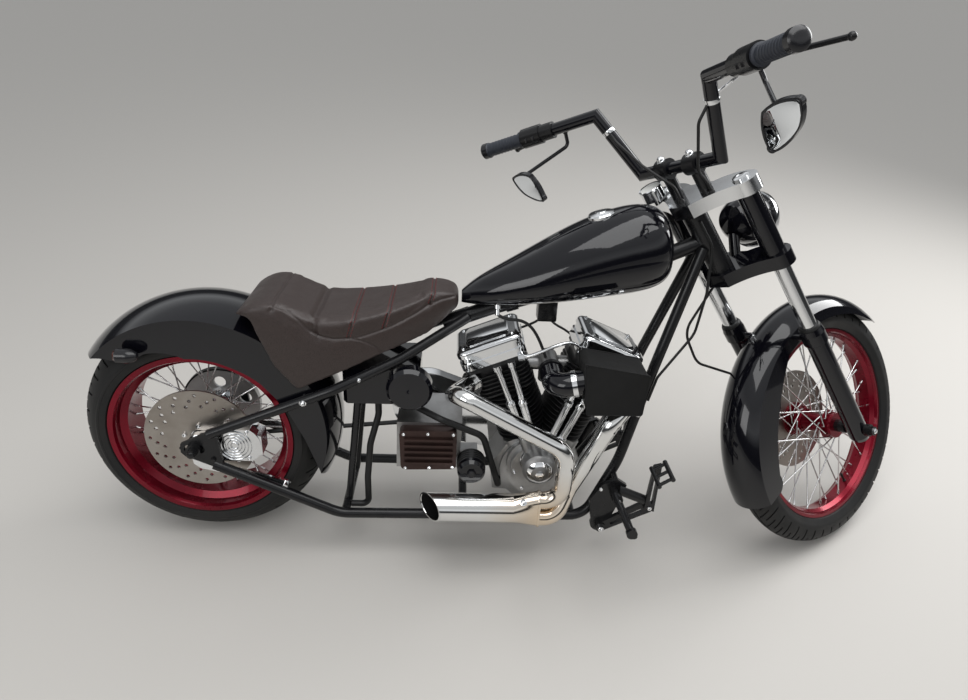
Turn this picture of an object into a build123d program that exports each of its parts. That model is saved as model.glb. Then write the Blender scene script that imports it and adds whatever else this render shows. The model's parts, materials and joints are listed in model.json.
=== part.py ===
from build123d import *
import os
from math import atan2, cos, degrees, hypot, pi, radians, sin, sqrt

# Chopper motorcycle, parked on its side stand with the steering on its left stop. Millimetres.
# It is modelled upright with straight steering: X forward, Y left, Z up, rear axle above the origin.
# Steered pieces are drawn along the steering axis: x forward of it, y left, z up it from its foot.

# Stance
WHEELBASE = 1745.0
RAKE = 35.0
FORK_OFFSET = 58.0
LEAN = 8.0
STEER_STOP = 36.0

# Rear wheel
REAR_TYRE_R = 322.0
REAR_TYRE_HALF = 92.0
REAR_CROWN_R = 105.0
REAR_SEAT_R = 229.0
REAR_FLANGE_R = 242.0
REAR_RIM_HALF = 86.0
REAR_WELL_DEPTH = 18.0

# Front wheel
FRONT_TYRE_R = 350.0
FRONT_CROWN_R = 46.0
FRONT_SEAT_R = 267.0
FRONT_FLANGE_R = 275.0
FRONT_RIM_HALF = 34.0
FRONT_WELL_DEPTH = 9.0

# Hubs and spokes
SPOKES = 40
SPOKE_R = 2.0
SPOKE_LAP = 70.0
HUB_FLANGE_R = 42.0
HUB_BARREL_R = 27.0
HUB_FLANGE_Y = 42.0
HUB_FLANGE_WALL = 5.0
AXLE_R = 12.5
FRONT_AXLE_R = 12.5
SPACER_R = 18.0
REAR_AXLE_HALF = 162.0
FRONT_AXLE_HALF = 172.0
AXLE_NUT = 12.0
RUNNING_FIT = 0.05
SEAT_GAP = 0.2
BODY_GAP = 0.3
FRONT_HUB_HALF = 66.0

# Discs, pulley and belt
DISC_R = 146.0
DISC_WALL = 5.0
DISC_INNER_R = 66.0
REAR_DISC_Y = -88.0
FRONT_DISC_Y = 72.0
PULLEY_R = 108.0
PULLEY_Y = 97.0
BELT_WIDTH = 18.0
BELT_WALL = 5.0
DRIVE_PULLEY_R = 42.0
DRIVE_X = 600.0
DRIVE_Z = 322.0

# Frame tubes
RAIL_R = 14.0
RAIL_Y = 135.0
RAIL_Z = 117.0
NECK_R = 30.0
STEM_R = 15.0
BACKBONE_R = 20.0
BACKBONE_FRONT = (WHEELBASE - 615, 0.0, 812.0)
BACKBONE_REAR = (760.0, 0.0, 688.0)
TUNNEL_GAP = 4.0

# Engine
CRANK = (918.0, 0.0, 226.0)
CYLINDER_ANGLE = 22.5
BARREL_BASE = 118.0
BARREL_TOP = 262.0
HEAD_TOP = 376.0
FIN_R = 76.0
BARREL_R = 56.0
FINS = 11
ROCKER_LENGTH = 176.0
ROCKER_WIDTH = 158.0
ROCKER_HEIGHT = 56.0
ROCKER_SHIFT = -18.0
HEAD_DECK = 14.0
GEARBOX_FACE = -96.0

# Fork and handlebar, along the steering axis
FORK_HALF = 122.0
SLIDER_TOP = 368.0
SLIDER_R = 27.0
COLLAR_WALL = 4.0
FORK_TUBE_R = 20.5
BOTTOM_CLAMP = 574.0
CLAMP_WALL = 36.0
TOP_CLAMP = 821.0
BAR_R = 15.9
BAR_FORWARD = 26.0
BAR_UP = 897.0
BAR_HALF = 123.0
GRIP_BAR_R = 12.7
GRIP_WALL = 5.0
GRIP_START = 0.64
PERCH_START = 0.36
NECK_FOOT = BOTTOM_CLAMP + CLAMP_WALL + 0.4
NECK_TOP = TOP_CLAMP - CLAMP_WALL - 0.4
CABLE_R = 3.5

# Headlight: forward of the steering axis, up it, radius and length
HEADLIGHT_FORWARD = 185.0
HEADLIGHT_UP = 631.0
HEADLIGHT_R = 70.0
HEADLIGHT_LENGTH = 108.0

# Brake calipers
CALIPER_FACE = -118.8
CALIPER_GAP = 1.5

# Side stand
STAND_PIVOT = (905.0, 174.0, 112.0)
STAND_REACH = (70.0, 130.0, -66.0)
STAND_FOLDED = (-0.985, 0.14, 0.05)
STAND_EYE_R = 16.0
STAND_EYE_WALL = 12.0
STAND_PLATE = 6.0
STAND_PIN_R = 6.0
STAND_LEG_R = 9.0
STAND_PAD = 6.0

STEER_FOOT = (WHEELBASE - FORK_OFFSET * cos(radians(RAKE)), 0.0,
              FRONT_TYRE_R - FORK_OFFSET * sin(radians(RAKE)))
STEER = Plane(origin=STEER_FOOT, x_dir=(cos(radians(RAKE)), 0, sin(radians(RAKE))),
              z_dir=(-sin(radians(RAKE)), 0, cos(radians(RAKE)))).location


# Placing

def low_point(centre, axle, crown_r, tyre_r):
    """Lowest point of a tyre whose crown is an arc, with its wheel turned to the given axle direction."""
    up = Vector(0, 0, 1)
    down = (axle * axle.dot(up) - up).normalized()
    return centre + down * (tyre_r - crown_r) - up * crown_r


def turn(location, direction):
    """A direction after a location's rotation."""
    return (location * Pos(*direction)).position - location.position


def stance():
    """Location that leans the machine on its stand with both tyres on the floor."""
    lean = Location((0, 0, 0), (-LEAN, 0, 0))
    steered = lean * STEER * Rotation(0, 0, STEER_STOP)
    rear = low_point((lean * Pos(0, 0, REAR_TYRE_R)).position, turn(lean, (0, 1, 0)),
                     REAR_CROWN_R, REAR_TYRE_R)
    front = low_point((steered * Pos(FORK_OFFSET, 0, 0)).position, turn(steered, (0, 1, 0)),
                      FRONT_CROWN_R, FRONT_TYRE_R)
    pitch = degrees(atan2(front.Z - rear.Z, front.X - rear.X))
    level = Pos(rear.X, 0, rear.Z) * Rotation(0, pitch, 0) * Pos(-rear.X, 0, -rear.Z)
    return Pos(0, 0, -rear.Z) * level * lean


PARKED = stance()
STEERED = PARKED * STEER * Rotation(0, 0, STEER_STOP)
STRAIGHT = STEERED * STEER.inverse()


# Shapes

def outline(start, *steps):
    """Closed face in the XY plane. A step is the next point, or a pair (through, next) for an arc."""
    edges = []
    here = start
    for step in steps:
        if isinstance(step[0], tuple):
            edges.append(ThreePointArc(here, step[0], step[1]))
            here = step[1]
        else:
            edges.append(Line(here, step))
            here = step
    if here != start:
        edges.append(Line(here, start))
    return make_face(edges)


def wheel_turned(face):
    """Solid of revolution about Y, from a face with x as radius and y along the axle."""
    return revolve(face, Axis.Y, 360)


def turned(start, *steps):
    """Solid of revolution about Z, from an outline of radius and height."""
    return revolve(Plane.XZ * outline(start, *steps), Axis.Z, 360)


def crown(radius, base, top):
    """Outline step for a ball-shaped crown: rises from a height at a radius to the axis."""
    rise = top - base
    ball = (radius ** 2 + rise ** 2) / (2 * rise)
    return (radius / 2, top - ball + sqrt(ball ** 2 - radius ** 2 / 4)), (0, top)


def at(point, direction, part, x_dir=None):
    """A part drawn along Z, placed at a point with Z along a direction."""
    return Plane(origin=point, z_dir=direction, x_dir=x_dir).location * part


def rod(a, b, radius):
    """Solid round bar between two points."""
    span = Vector(*b) - Vector(*a)
    return Solid.make_cylinder(radius, span.length, Plane(origin=a, z_dir=span))


def bent(points, radii, radius, bore=0.0):
    """Round tube along straight runs with filleted corners."""
    path = FilletPolyline(*points, radius=radii)
    start = Plane(origin=path @ 0, z_dir=path % 0)
    tube = sweep(start * Circle(radius), path=path)
    if bore:
        tube = tube - sweep(start * Circle(bore), path=path)
    return tube


def slab(face, y_right, y_left):
    """Side outline, x forward and y up, extruded across the machine."""
    sketch = Plane(origin=(0, y_left, 0), x_dir=(1, 0, 0), z_dir=(0, -1, 0)) * face
    return extrude(sketch, amount=y_left - y_right, dir=(0, -1, 0))


def deck(face, z_low, z_high):
    """Plan outline extruded upward."""
    return extrude(Pos(0, 0, z_low) * face, amount=z_high - z_low, dir=(0, 0, 1))


def mirrored(part):
    """The same part on the other side."""
    return mirror(part, about=Plane.XZ)


def largest(shape):
    """The biggest solid that a cut leaves."""
    return max(shape.solids(), key=lambda solid: solid.volume)


def compound(parts):
    """One shape of separate solids."""
    return Compound([solid for part in parts for solid in part.solids()])


# Wheels

def rear_tyre():
    ring = REAR_TYRE_R - REAR_CROWN_R
    shoulder_y = REAR_TYRE_HALF - 7
    shoulder_r = ring + sqrt(REAR_CROWN_R ** 2 - shoulder_y ** 2)
    inner = REAR_CROWN_R - 16
    inner_y = shoulder_y - 12
    inner_r = ring + sqrt(inner ** 2 - inner_y ** 2)
    bead = REAR_SEAT_R + 0.3
    face = outline(
        (bead, -58), (bead, 0.3 - 80), (REAR_FLANGE_R, 0.3 - 80),
        (REAR_FLANGE_R + 2, 5 - REAR_TYRE_HALF),
        ((REAR_FLANGE_R + 20, -REAR_TYRE_HALF), (shoulder_r, -shoulder_y)),
        ((REAR_TYRE_R, 0), (shoulder_r, shoulder_y)),
        ((REAR_FLANGE_R + 20, REAR_TYRE_HALF), (REAR_FLANGE_R + 2, REAR_TYRE_HALF - 5)),
        (REAR_FLANGE_R, 80 - 0.3), (bead, 80 - 0.3), (bead, 58),
        (REAR_FLANGE_R, 68), (inner_r, inner_y),
        ((ring + inner, 0), (inner_r, -inner_y)), (REAR_FLANGE_R, -68))
    return wheel_turned(face)


def front_tyre():
    ring = FRONT_TYRE_R - FRONT_CROWN_R
    edge_r = FRONT_FLANGE_R + 3
    edge_y = sqrt(FRONT_CROWN_R ** 2 - (ring - edge_r) ** 2)
    inner = FRONT_CROWN_R - 10
    inner_r = FRONT_FLANGE_R + 9
    inner_y = sqrt(inner ** 2 - (ring - inner_r) ** 2)
    bead = FRONT_SEAT_R + 0.3
    wall = FRONT_RIM_HALF - 4.3
    face = outline(
        (bead, -18), (bead, -wall), (FRONT_FLANGE_R + 0.5, -wall), (edge_r, -edge_y),
        ((FRONT_TYRE_R, 0), (edge_r, edge_y)),
        (FRONT_FLANGE_R + 0.5, wall), (bead, wall), (bead, 18), (inner_r, inner_y),
        ((ring + inner, 0), (inner_r, -inner_y)))
    return wheel_turned(face)


def rim(seat_r, flange_r, half, well_depth, wall):
    """Dropped-centre rim: flanges, bead seats and a well, of one wall all round."""
    seat_y = half - 4
    well_y = half * 0.56
    well_r = seat_r - well_depth
    face = outline(
        (flange_r, -half), (flange_r, -seat_y), (seat_r, -seat_y), (seat_r - 1.5, -well_y - 10),
        (well_r, -well_y), (well_r, well_y), (seat_r - 1.5, well_y + 10), (seat_r, seat_y),
        (flange_r, seat_y), (flange_r, half), (seat_r - 1, half), (seat_r - wall, seat_y - 4),
        (seat_r - wall - 1.5, well_y + 8), (well_r - wall, well_y - 3), (well_r - wall, 3 - well_y),
        (seat_r - wall - 1.5, -well_y - 8), (seat_r - wall, 4 - seat_y), (seat_r - 1, -half))
    return wheel_turned(face)


def spokes(rim_r):
    """Laced spokes: alternate flanges, leading ones outside and trailing ones inside, with an elbow each."""
    bars = []
    for index in range(SPOKES):
        side = 1 if index % 2 else -1
        lead = 1 if index % 4 < 2 else -1
        rim_angle = radians((index + 0.5) * 360 / SPOKES)
        hub_angle = rim_angle + lead * radians(SPOKE_LAP)
        hub_x, hub_z = ((HUB_FLANGE_R - 5) * trig(hub_angle) for trig in (cos, sin))
        flange_y, elbow_y = (side * (HUB_FLANGE_Y + lead * (HUB_FLANGE_WALL / 2 + reach))
                             for reach in (SEAT_GAP, 3 * SPOKE_R))
        end = (rim_r * cos(rim_angle), side * (8 + lead * 4), rim_r * sin(rim_angle))
        bars.append(bent([(hub_x, flange_y, hub_z), (hub_x, elbow_y, hub_z), end], [3], SPOKE_R))
    return compound(bars)


def hub(bore_r, right, left, flange_right, flange_left):
    """Barrel with two spoke flanges and shouldered ends that carry the disc or the pulley."""
    half = HUB_FLANGE_WALL / 2
    face = outline(
        (bore_r, -right), (flange_right, -right), (flange_right, 7 - right),
        (HUB_BARREL_R + 3, 10 - right), (HUB_BARREL_R + 3, -HUB_FLANGE_Y - half),
        (HUB_FLANGE_R, -HUB_FLANGE_Y - half), (HUB_FLANGE_R, half - HUB_FLANGE_Y),
        (HUB_BARREL_R + 4, half - HUB_FLANGE_Y), (HUB_BARREL_R, half + 8 - HUB_FLANGE_Y),
        (HUB_BARREL_R, HUB_FLANGE_Y - half - 8), (HUB_BARREL_R + 4, HUB_FLANGE_Y - half),
        (HUB_FLANGE_R, HUB_FLANGE_Y - half), (HUB_FLANGE_R, HUB_FLANGE_Y + half),
        (HUB_BARREL_R + 3, HUB_FLANGE_Y + half), (HUB_BARREL_R + 3, left - 10),
        (flange_left, left - 7), (flange_left, left), (bore_r, left))
    return wheel_turned(face)


def disc(y_centre, bolt_r):
    """Drilled brake disc with a scalloped carrier that bolts to the hub."""
    half = DISC_WALL / 2
    plate = wheel_turned(outline((DISC_INNER_R, y_centre - half), (DISC_R, y_centre - half),
                                 (DISC_R, y_centre + half), (DISC_INNER_R, y_centre + half)))
    for row, (count, radius, size) in enumerate(((16, 132, 5), (16, 116, 5), (16, 100, 5))):
        for index in range(count):
            angle = radians((index + row / 3) * 360 / count)
            hole = rod((radius * cos(angle), y_centre - 9, radius * sin(angle)),
                       (radius * cos(angle), y_centre + 9, radius * sin(angle)), size)
            plate = plate - hole
    inner = bolt_r - 14
    carrier = wheel_turned(outline((inner, y_centre - half), (DISC_INNER_R, y_centre - half),
                                   (DISC_INNER_R, y_centre + half), (inner, y_centre + half)))
    return (plate + carrier).solids()[0]


REAR_HUB_RIGHT = -REAR_DISC_Y - DISC_WALL / 2 - SEAT_GAP


def pulley():
    """Belt pulley with flanges and five windows."""
    y_low = PULLEY_Y
    y_high = PULLEY_Y + BELT_WIDTH
    wheel = wheel_turned(outline(
        (22, y_low), (PULLEY_R, y_low), (PULLEY_R, y_high), (PULLEY_R - 10, y_high),
        (PULLEY_R - 14, y_low + 8), (50, y_low + 8), (46, y_high - 4), (22, y_high - 4)))
    for index in range(5):
        angle = radians(90 + index * 72)
        wheel = wheel - rod((72 * cos(angle), y_low - 2, 72 * sin(angle)),
                            (72 * cos(angle), y_high, 72 * sin(angle)), 17)
    return wheel


def rear_wheel_parts():
    axle = Pos(0, 0, REAR_TYRE_R)
    wall = 5
    rim_r = REAR_SEAT_R - REAR_WELL_DEPTH - wall
    return {
        "rear_tyre": axle * rear_tyre(),
        "rear_rim": axle * rim(REAR_SEAT_R, REAR_FLANGE_R, REAR_RIM_HALF, REAR_WELL_DEPTH, wall),
        "rear_spokes": axle * spokes(rim_r - 1),
        "rear_hub": axle * hub(AXLE_R + RUNNING_FIT, REAR_HUB_RIGHT, PULLEY_Y - SEAT_GAP, 50, 50),
        "rear_brake_disc": axle * disc(REAR_DISC_Y, 42),
        "rear_pulley": axle * pulley(),
    }


def front_wheel_parts():
    axle = Pos(FORK_OFFSET, 0, 0)
    wall = 4
    rim_r = FRONT_SEAT_R - FRONT_WELL_DEPTH - wall
    return {
        "front_tyre": axle * front_tyre(),
        "front_rim": axle * rim(FRONT_SEAT_R, FRONT_FLANGE_R, FRONT_RIM_HALF, FRONT_WELL_DEPTH, wall),
        "front_spokes": axle * spokes(rim_r - 1),
        "front_hub": axle * hub(FRONT_AXLE_R + RUNNING_FIT, FRONT_HUB_HALF,
                                FRONT_DISC_Y - DISC_WALL / 2 - SEAT_GAP, 36, 50),
        "front_brake_disc": axle * disc(FRONT_DISC_Y, 42),
    }


# Frame

def neck_axis(height, forward=0.0, side=0.0):
    """A point on the steering axis, in the upright machine."""
    return tuple((STEER * Pos(forward, side, height)).position)


def backbone(radius, tail):
    """Tube from the neck back under the tank, to its tail under the seat."""
    return bent([neck_axis(700), BACKBONE_FRONT, BACKBONE_REAR, tail], [200, 200], radius)


def frame_neck():
    """Steering neck and the backbone to the seat, with two rubber collars under the tank."""
    neck = rod(neck_axis(NECK_FOOT), neck_axis(NECK_TOP), NECK_R) + backbone(BACKBONE_R, (640, 0, 640))
    for start, end in ((0.1, 0.18), (0.82, 0.9)):
        low, high = (Vector(*BACKBONE_FRONT) * (1 - share) + Vector(*BACKBONE_REAR) * share
                     for share in (start, end))
        neck = neck + rod(tuple(low), tuple(high), BACKBONE_R + TUNNEL_GAP - SEAT_GAP)
    return neck - rod(neck_axis(NECK_FOOT - 5), neck_axis(NECK_TOP + 5), STEM_R + RUNNING_FIT)


def cradle(side):
    """Down tube, bottom corner and lower rail up to the axle plate."""
    path = [(WHEELBASE - 459, side * 18, 872), (WHEELBASE - 547, side * 62, 562),
            (WHEELBASE - 617, side * 98, 285), (WHEELBASE - 699, side * 126, RAIL_Z),
            (365, side * (RAIL_Y - 3), RAIL_Z), (44, side * RAIL_Y, 274)]
    tube = bent(path, [260, 260, 70, 110], RAIL_R)
    return largest(tube - frame_neck())


def stay(side):
    """Upper tube from the backbone tail to the axle plate."""
    path = [(704, side * 20, 668), (530, side * 84, 571), (362, side * 129, 500), (40, side * RAIL_Y, 366)]
    return bent(path, [160, 160], RAIL_R - 1)


def axle_plate(side):
    """Slotted plate that joins the lower rail and the upper stay and carries the axle."""
    centre = REAR_TYRE_R
    face = outline((-36, centre - 10), (-26, centre - 22), (54, centre - 58), (70, centre - 48),
                   (60, centre + 54), (42, centre + 54), (-34, centre + 15))
    plate = slab(face, side * RAIL_Y - 5, side * RAIL_Y + 5)
    slot = slab(outline((-14, centre - AXLE_R - 0.1), (14, centre - AXLE_R - 0.1),
                        ((14 + AXLE_R, centre), (14, centre + AXLE_R + 0.1)),
                        (-14, centre + AXLE_R + 0.1),
                        ((-14 - AXLE_R, centre), (-14, centre - AXLE_R - 0.1))),
                side * RAIL_Y - 9, side * RAIL_Y + 9)
    return plate - slot


def rear_triangle(side, rail):
    """Stay and axle plate, joined as they are welded, and coped to the lower rail and the backbone."""
    return largest(stay(side) + axle_plate(side) - rail - frame_neck())


# Cross members: start and end, in the upright machine
CROSS_MEMBERS = (
    ((380, -RAIL_Y, RAIL_Z), (380, RAIL_Y, RAIL_Z)),
    ((705, -RAIL_Y, RAIL_Z), (705, RAIL_Y, RAIL_Z)),
    ((1010, -RAIL_Y, RAIL_Z), (1010, RAIL_Y, RAIL_Z)),
)
POST_Y = 74.0
OIL_TANK_Z = 440.0


def cross_members(rails):
    bars = []
    for start, end in CROSS_MEMBERS:
        bar = rod(start, end, RAIL_R - 2)
        for rail in rails:
            bar = bar - rail
        bars.append(largest(bar))
    for side in (-1, 1):
        post = rod((384, side * POST_Y, RAIL_Z + 6), (420, side * POST_Y, OIL_TANK_Z + 20), 10)
        top = Pos(420, 0, OIL_TANK_Z - SEAT_GAP + 50) * Box(200, 400, 100)
        bars.append(largest(post - bars[0] - top))
    return compound(bars)


def rear_axle():
    """Axle with its spacers and nuts."""
    inner = PULLEY_Y + BELT_WIDTH - 4 + BODY_GAP
    y_nut = RAIL_Y + 5
    shaft = rod((0, -REAR_AXLE_HALF, REAR_TYRE_R), (0, REAR_AXLE_HALF, REAR_TYRE_R), AXLE_R)
    for y_from, y_to, radius in ((-y_nut - AXLE_NUT, -y_nut - 0.1, 19), (y_nut + 0.1, y_nut + AXLE_NUT, 19),
                                 (5.2 - RAIL_Y, -REAR_HUB_RIGHT - BODY_GAP, SPACER_R),
                                 (inner, RAIL_Y - 5.2, SPACER_R)):
        shaft = shaft + rod((0, y_from, REAR_TYRE_R), (0, y_to, REAR_TYRE_R), radius)
    return shaft


# Engine

def bank(sign):
    """Location with Z along a cylinder's axis from the crankshaft and X forward along it."""
    return Pos(*CRANK) * Rotation(0, sign * CYLINDER_ANGLE, 0)


def bank_side(sign, gap=0.0):
    """Half space in front of or behind the crankshaft, where that bank's pieces stay."""
    size = 1200
    return Pos(CRANK[0] + sign * (size / 2 + gap), 0, CRANK[2]) * Box(size, size, size)


def finned(radius_low, radius_fin, z_low, z_high, count):
    """Barrel with evenly spaced round fins."""
    pitch = (z_high - z_low) / count
    points = [(0, z_low), (radius_low, z_low)]
    for index in range(count):
        base = z_low + index * pitch + pitch * 0.35
        points += [(radius_low, base), (radius_fin, base + 0.6), (radius_fin, base + 2.4),
                   (radius_low, base + 3.4)]
    points += [(radius_low, z_high), (0, z_high)]
    return turned(*points)


def barrel():
    return finned(BARREL_R, FIN_R, BARREL_BASE, BARREL_TOP - 0.2, FINS)


def head():
    """Cylinder head: a squarish finned block with the rocker seat on top."""
    half_x = 78
    half_y = 68
    core = Pos(0, 0, BARREL_TOP) * extrude(RectangleRounded(132, 116, 20), amount=HEAD_TOP - BARREL_TOP)
    for index in range(6):
        z_low = BARREL_TOP + 8 + index * 12
        fin = extrude(RectangleRounded(2 * half_x, 2 * half_y, 30), amount=3)
        core = core + Pos(0, 0, z_low) * fin
    deck_plate = extrude(RectangleRounded(ROCKER_LENGTH - 12, ROCKER_WIDTH - 12, 22), amount=HEAD_DECK)
    return core + Pos(0, ROCKER_SHIFT, HEAD_TOP - HEAD_DECK) * deck_plate


def rocker_cover():
    """Cast rocker cover in three layers, with a crowned lid."""
    base = extrude(RectangleRounded(ROCKER_LENGTH, ROCKER_WIDTH, 26), amount=ROCKER_HEIGHT * 0.36)
    middle = extrude(RectangleRounded(ROCKER_LENGTH - 8, ROCKER_WIDTH - 8, 24), amount=ROCKER_HEIGHT * 0.3)
    lid = extrude(RectangleRounded(ROCKER_LENGTH, ROCKER_WIDTH, 26), amount=ROCKER_HEIGHT * 0.34)
    lid = fillet(lid.faces().sort_by(Axis.Z)[-1].edges(), 12)
    cover = base + Pos(0, 0, ROCKER_HEIGHT * 0.36) * middle + Pos(0, 0, ROCKER_HEIGHT * 0.66) * lid
    return Pos(0, ROCKER_SHIFT, HEAD_TOP + SEAT_GAP) * cover


def crankcase():
    """Cases round the crankshaft with a deck for each barrel and a flat right face for the cam cover."""
    x, _, z = CRANK
    body = rod((x, -66, z), (x, 66, z), 112)
    sump = slab(outline((x - 130, z - 70), (x + 96, z - 92), (x + 128, z - 20), (x + 90, z + 70),
                        (x - 96, z + 78), (x - 140, z + 10)), -58, 58)
    body = body + sump
    deck_block = Pos(0, 0, 40) * extrude(RectangleRounded(132, 124, 20), amount=BARREL_BASE - 40 - SEAT_GAP)
    for sign in (-1, 1):
        body = body + (bank(sign) * deck_block & bank_side(sign))
    return body


def cam_cover():
    """Right-side cover: a stepped rounded plate with the ignition dome."""
    x, _, z = CRANK
    layers = []
    for share, y_right, y_left in ((1.0, -82, -66.2), (0.9, -98, -82)):
        face = outline((x - 92 * share, z + 8), ((x - 72 * share, z + 86 * share), (x, z + 112 * share)),
                       ((x + 72 * share, z + 86 * share), (x + 92 * share, z + 8)),
                       ((x + 64 * share, z - 54 * share), (x, z - 74 * share)),
                       ((x - 64 * share, z - 54 * share), (x - 92 * share, z + 8)))
        layers.append(slab(face, y_right, y_left))
    dome = at((x - 12, -97, z + 52), (0, -1, 0), turned((0, 0), (45, 0), (45, 44), crown(45, 44, 68)))
    cover = layers[0] + layers[1] + dome
    for row in PUSHRODS:
        foot, top = pushrod_line(*row)
        axis = (top - foot).normalized()
        cover = cover + rod(tuple(foot - axis * 46), tuple(foot - axis * SEAT_GAP), TAPPET_R)
    for row in PUSHRODS:
        foot, top = pushrod_line(*row)
        cover = cover - rod(tuple(foot), tuple(top), TAPPET_R)
    return cover


# Pushrod tubes: bank, foot on the tappet block (x, z), and place of the top along the bank's head
PUSHRODS = (
    (-1, (862, 352), 0),
    (-1, (890, 346), 38),
    (1, (934, 346), -42),
    (1, (962, 340), -4),
)
PUSHROD_FOOT_Y = -94.0
PUSHROD_TOP_Y = -90.0
TAPPET_R = 15.0


def pushrod_line(sign, foot_xz, top_x):
    """Foot of a pushrod tube on its tappet block, and its top just inside the head's deck."""
    foot = Vector(foot_xz[0], PUSHROD_FOOT_Y, foot_xz[1])
    return foot, (bank(sign) * Pos(top_x, PUSHROD_TOP_Y, HEAD_TOP - HEAD_DECK + 3)).position


def pushrod_tube(sign, foot_xz, top_x):
    """Telescoping tube: a wide lower cup, a slim upper tube and a seal collar at each end."""
    foot, top = pushrod_line(sign, foot_xz, top_x)
    span = (top - foot).length
    tube = at(tuple(foot), top - foot, turned(
        (0, 0), (13, 0), (13, 14), (11, 18), (11, span * 0.45), (12.5, span * 0.46), (12.5, span * 0.5),
        (8, span * 0.53), (8, span - 16), (11, span - 14), (11, span), (0, span)))
    return largest(tube - bank(sign) * head())


def intake():
    """Manifold and carburettor between the heads."""
    x = CRANK[0]
    body = rod((x, -20, 560), (x, -96, 560), 26) + rod((x, -44, 556), (x, -44, 505), 24)
    body = body + rod((x - 76, -14, 540), (x + 76, -14, 540), 20) + rod((x, -14, 540), (x, -40, 556), 20)
    for sign in (-1, 1):
        body = body - bank(sign) * head()
    return largest(body)


def intake_elbow():
    """Swept elbow from the carburettor mouth to the filter."""
    x = CRANK[0]
    return bent([(x, -96 - SEAT_GAP, 560), (x, -190, 560), (1004, -196, 582)], [36], 30)


def air_filter():
    """Tapered filter box with a rounded outer face."""
    face = outline((974, 650), (1132, 624), (1126, 516), (992, 514))
    box = slab(face, -244, -150)
    return fillet(box.edges().filter_by(Axis.Y), 12) - intake_elbow()


def primary_cover():
    """Long oval cover over the primary drive on the left."""
    (x1, z1, r1), (x2, z2, r2) = (CRANK[0], CRANK[2], 78), (DRIVE_X - 6, DRIVE_Z, 104)
    angle = atan2(z2 - z1, x2 - x1)
    lean = pi / 2 + (r2 - r1) / hypot(x2 - x1, z2 - z1)
    top1 = (x1 + r1 * cos(angle - lean), z1 + r1 * sin(angle - lean))
    top2 = (x2 + r2 * cos(angle - lean), z2 + r2 * sin(angle - lean))
    low1 = (x1 + r1 * cos(angle + lean), z1 + r1 * sin(angle + lean))
    low2 = (x2 + r2 * cos(angle + lean), z2 + r2 * sin(angle + lean))
    nose = (x1 - r1 * cos(angle), z1 - r1 * sin(angle))
    tail = (x2 + r2 * cos(angle), z2 + r2 * sin(angle))
    face = outline(top1, (nose, low1), low2, (tail, top2))
    cover = slab(face, 122, 172)
    cover = fillet(cover.faces().sort_by(Axis.Y)[-1].edges(), 16)
    return cover + rod((x1, 66.2, z1), (x1, 123, z1), 62)


def transmission():
    """Gearbox with the oil filter's mount and the output shaft on the left."""
    box = slab(outline((520, 250), (690, 250), (696, 392), (522, 392)), GEARBOX_FACE, 66)
    mount = slab(outline((680, 256), (740, 256), (740, 302), (686, 302)), GEARBOX_FACE, -50)
    shaft = rod((DRIVE_X, 65, DRIVE_Z), (DRIVE_X, PULLEY_Y + BELT_WIDTH, DRIVE_Z), 20)
    drive = rod((DRIVE_X, PULLEY_Y, DRIVE_Z), (DRIVE_X, PULLEY_Y + BELT_WIDTH, DRIVE_Z), DRIVE_PULLEY_R)
    return box + mount + shaft + drive


def transmission_cover():
    """Ribbed side cover on the gearbox's right face."""
    cover = slab(outline((534, 262), (682, 266), (682, 386), (530, 384)), -128, GEARBOX_FACE - SEAT_GAP)
    cover = fillet(cover.edges().filter_by(Axis.Y), 14)
    for index in range(5):
        z_low = 286 + index * 18
        rib = outline((544, z_low), (672, z_low), (672, z_low + 5), (544, z_low + 5))
        cover = cover + slab(rib, -136, -127)
    return cover


def belt():
    """Closed belt loop round the two pulleys."""
    inner, outer = (slab(belt_outline(extra), PULLEY_Y + 0.5, PULLEY_Y + BELT_WIDTH - 0.5)
                    for extra in (BODY_GAP, BODY_GAP + BELT_WALL))
    return outer - inner


def oil_tank():
    """Horseshoe tank under the seat with a round cap on its right side."""
    half = 86
    tank = deck(outline((392, -half), (566, -half), (582, -60), (582, 60), (566, half), (392, half),
                        (380, 70), (380, -70)), OIL_TANK_Z, 540)
    tank = fillet(tank.edges().filter_by(Axis.Z), 10)
    cap = at((556, 2 - half, 497), (0, -1, 0), turned((0, 0), (60, 0), (60, 26), (52, 36), (0, 38)))
    return tank + cap


def oil_filter():
    return at((723, GEARBOX_FACE - SEAT_GAP, 278), (0, -1, 0),
              turned((0, 0), (34, 0), (37, 4), (37, 58), (30, 66), (0, 66)))


# Oil hoses: points and corner radii
OIL_HOSES = (
    ([(470, -56, 439.8), (470, -56, 390), (448, -78, 310), (440, -90, 210), (440, -90, RAIL_Z),
      (392.4, -90, RAIL_Z)], [50, 90, 70, 20]),
    ([(570, -60, 439.8), (570, -60, 420), (640, -112, 412), (752, -112, 364), (786, -104, 250),
      (802, -92, 190), (802, -58.2, 190)], [14, 30, 40, 50, 14]),
)


def frame_lines():
    """Oil hoses, and the cable from the neck's side down to the right down tube."""
    lines = [bent(points, radii, 9) for points, radii in OIL_HOSES]
    side = -NECK_R - CABLE_R - SEAT_GAP
    loop = [neck_axis(765, 0, side), neck_axis(690, 0, side), neck_axis(590, -66, -46),
            neck_axis(500, -140, -40), (WHEELBASE - 540, -78.5, 536), (WHEELBASE - 558, -87.5, 470)]
    lines.append(bent(loop, [60, 60, 50, 30], CABLE_R))
    return compound(lines)


# Exhaust: place where both headers meet the collector
EXHAUST_X = 905.0
EXHAUST_Y = -205.0
EXHAUST_Z = 200.0
EXHAUST_SPLIT = 27.0
HEADER_R = 23.0
COLLECTOR_R = 38.0


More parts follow.
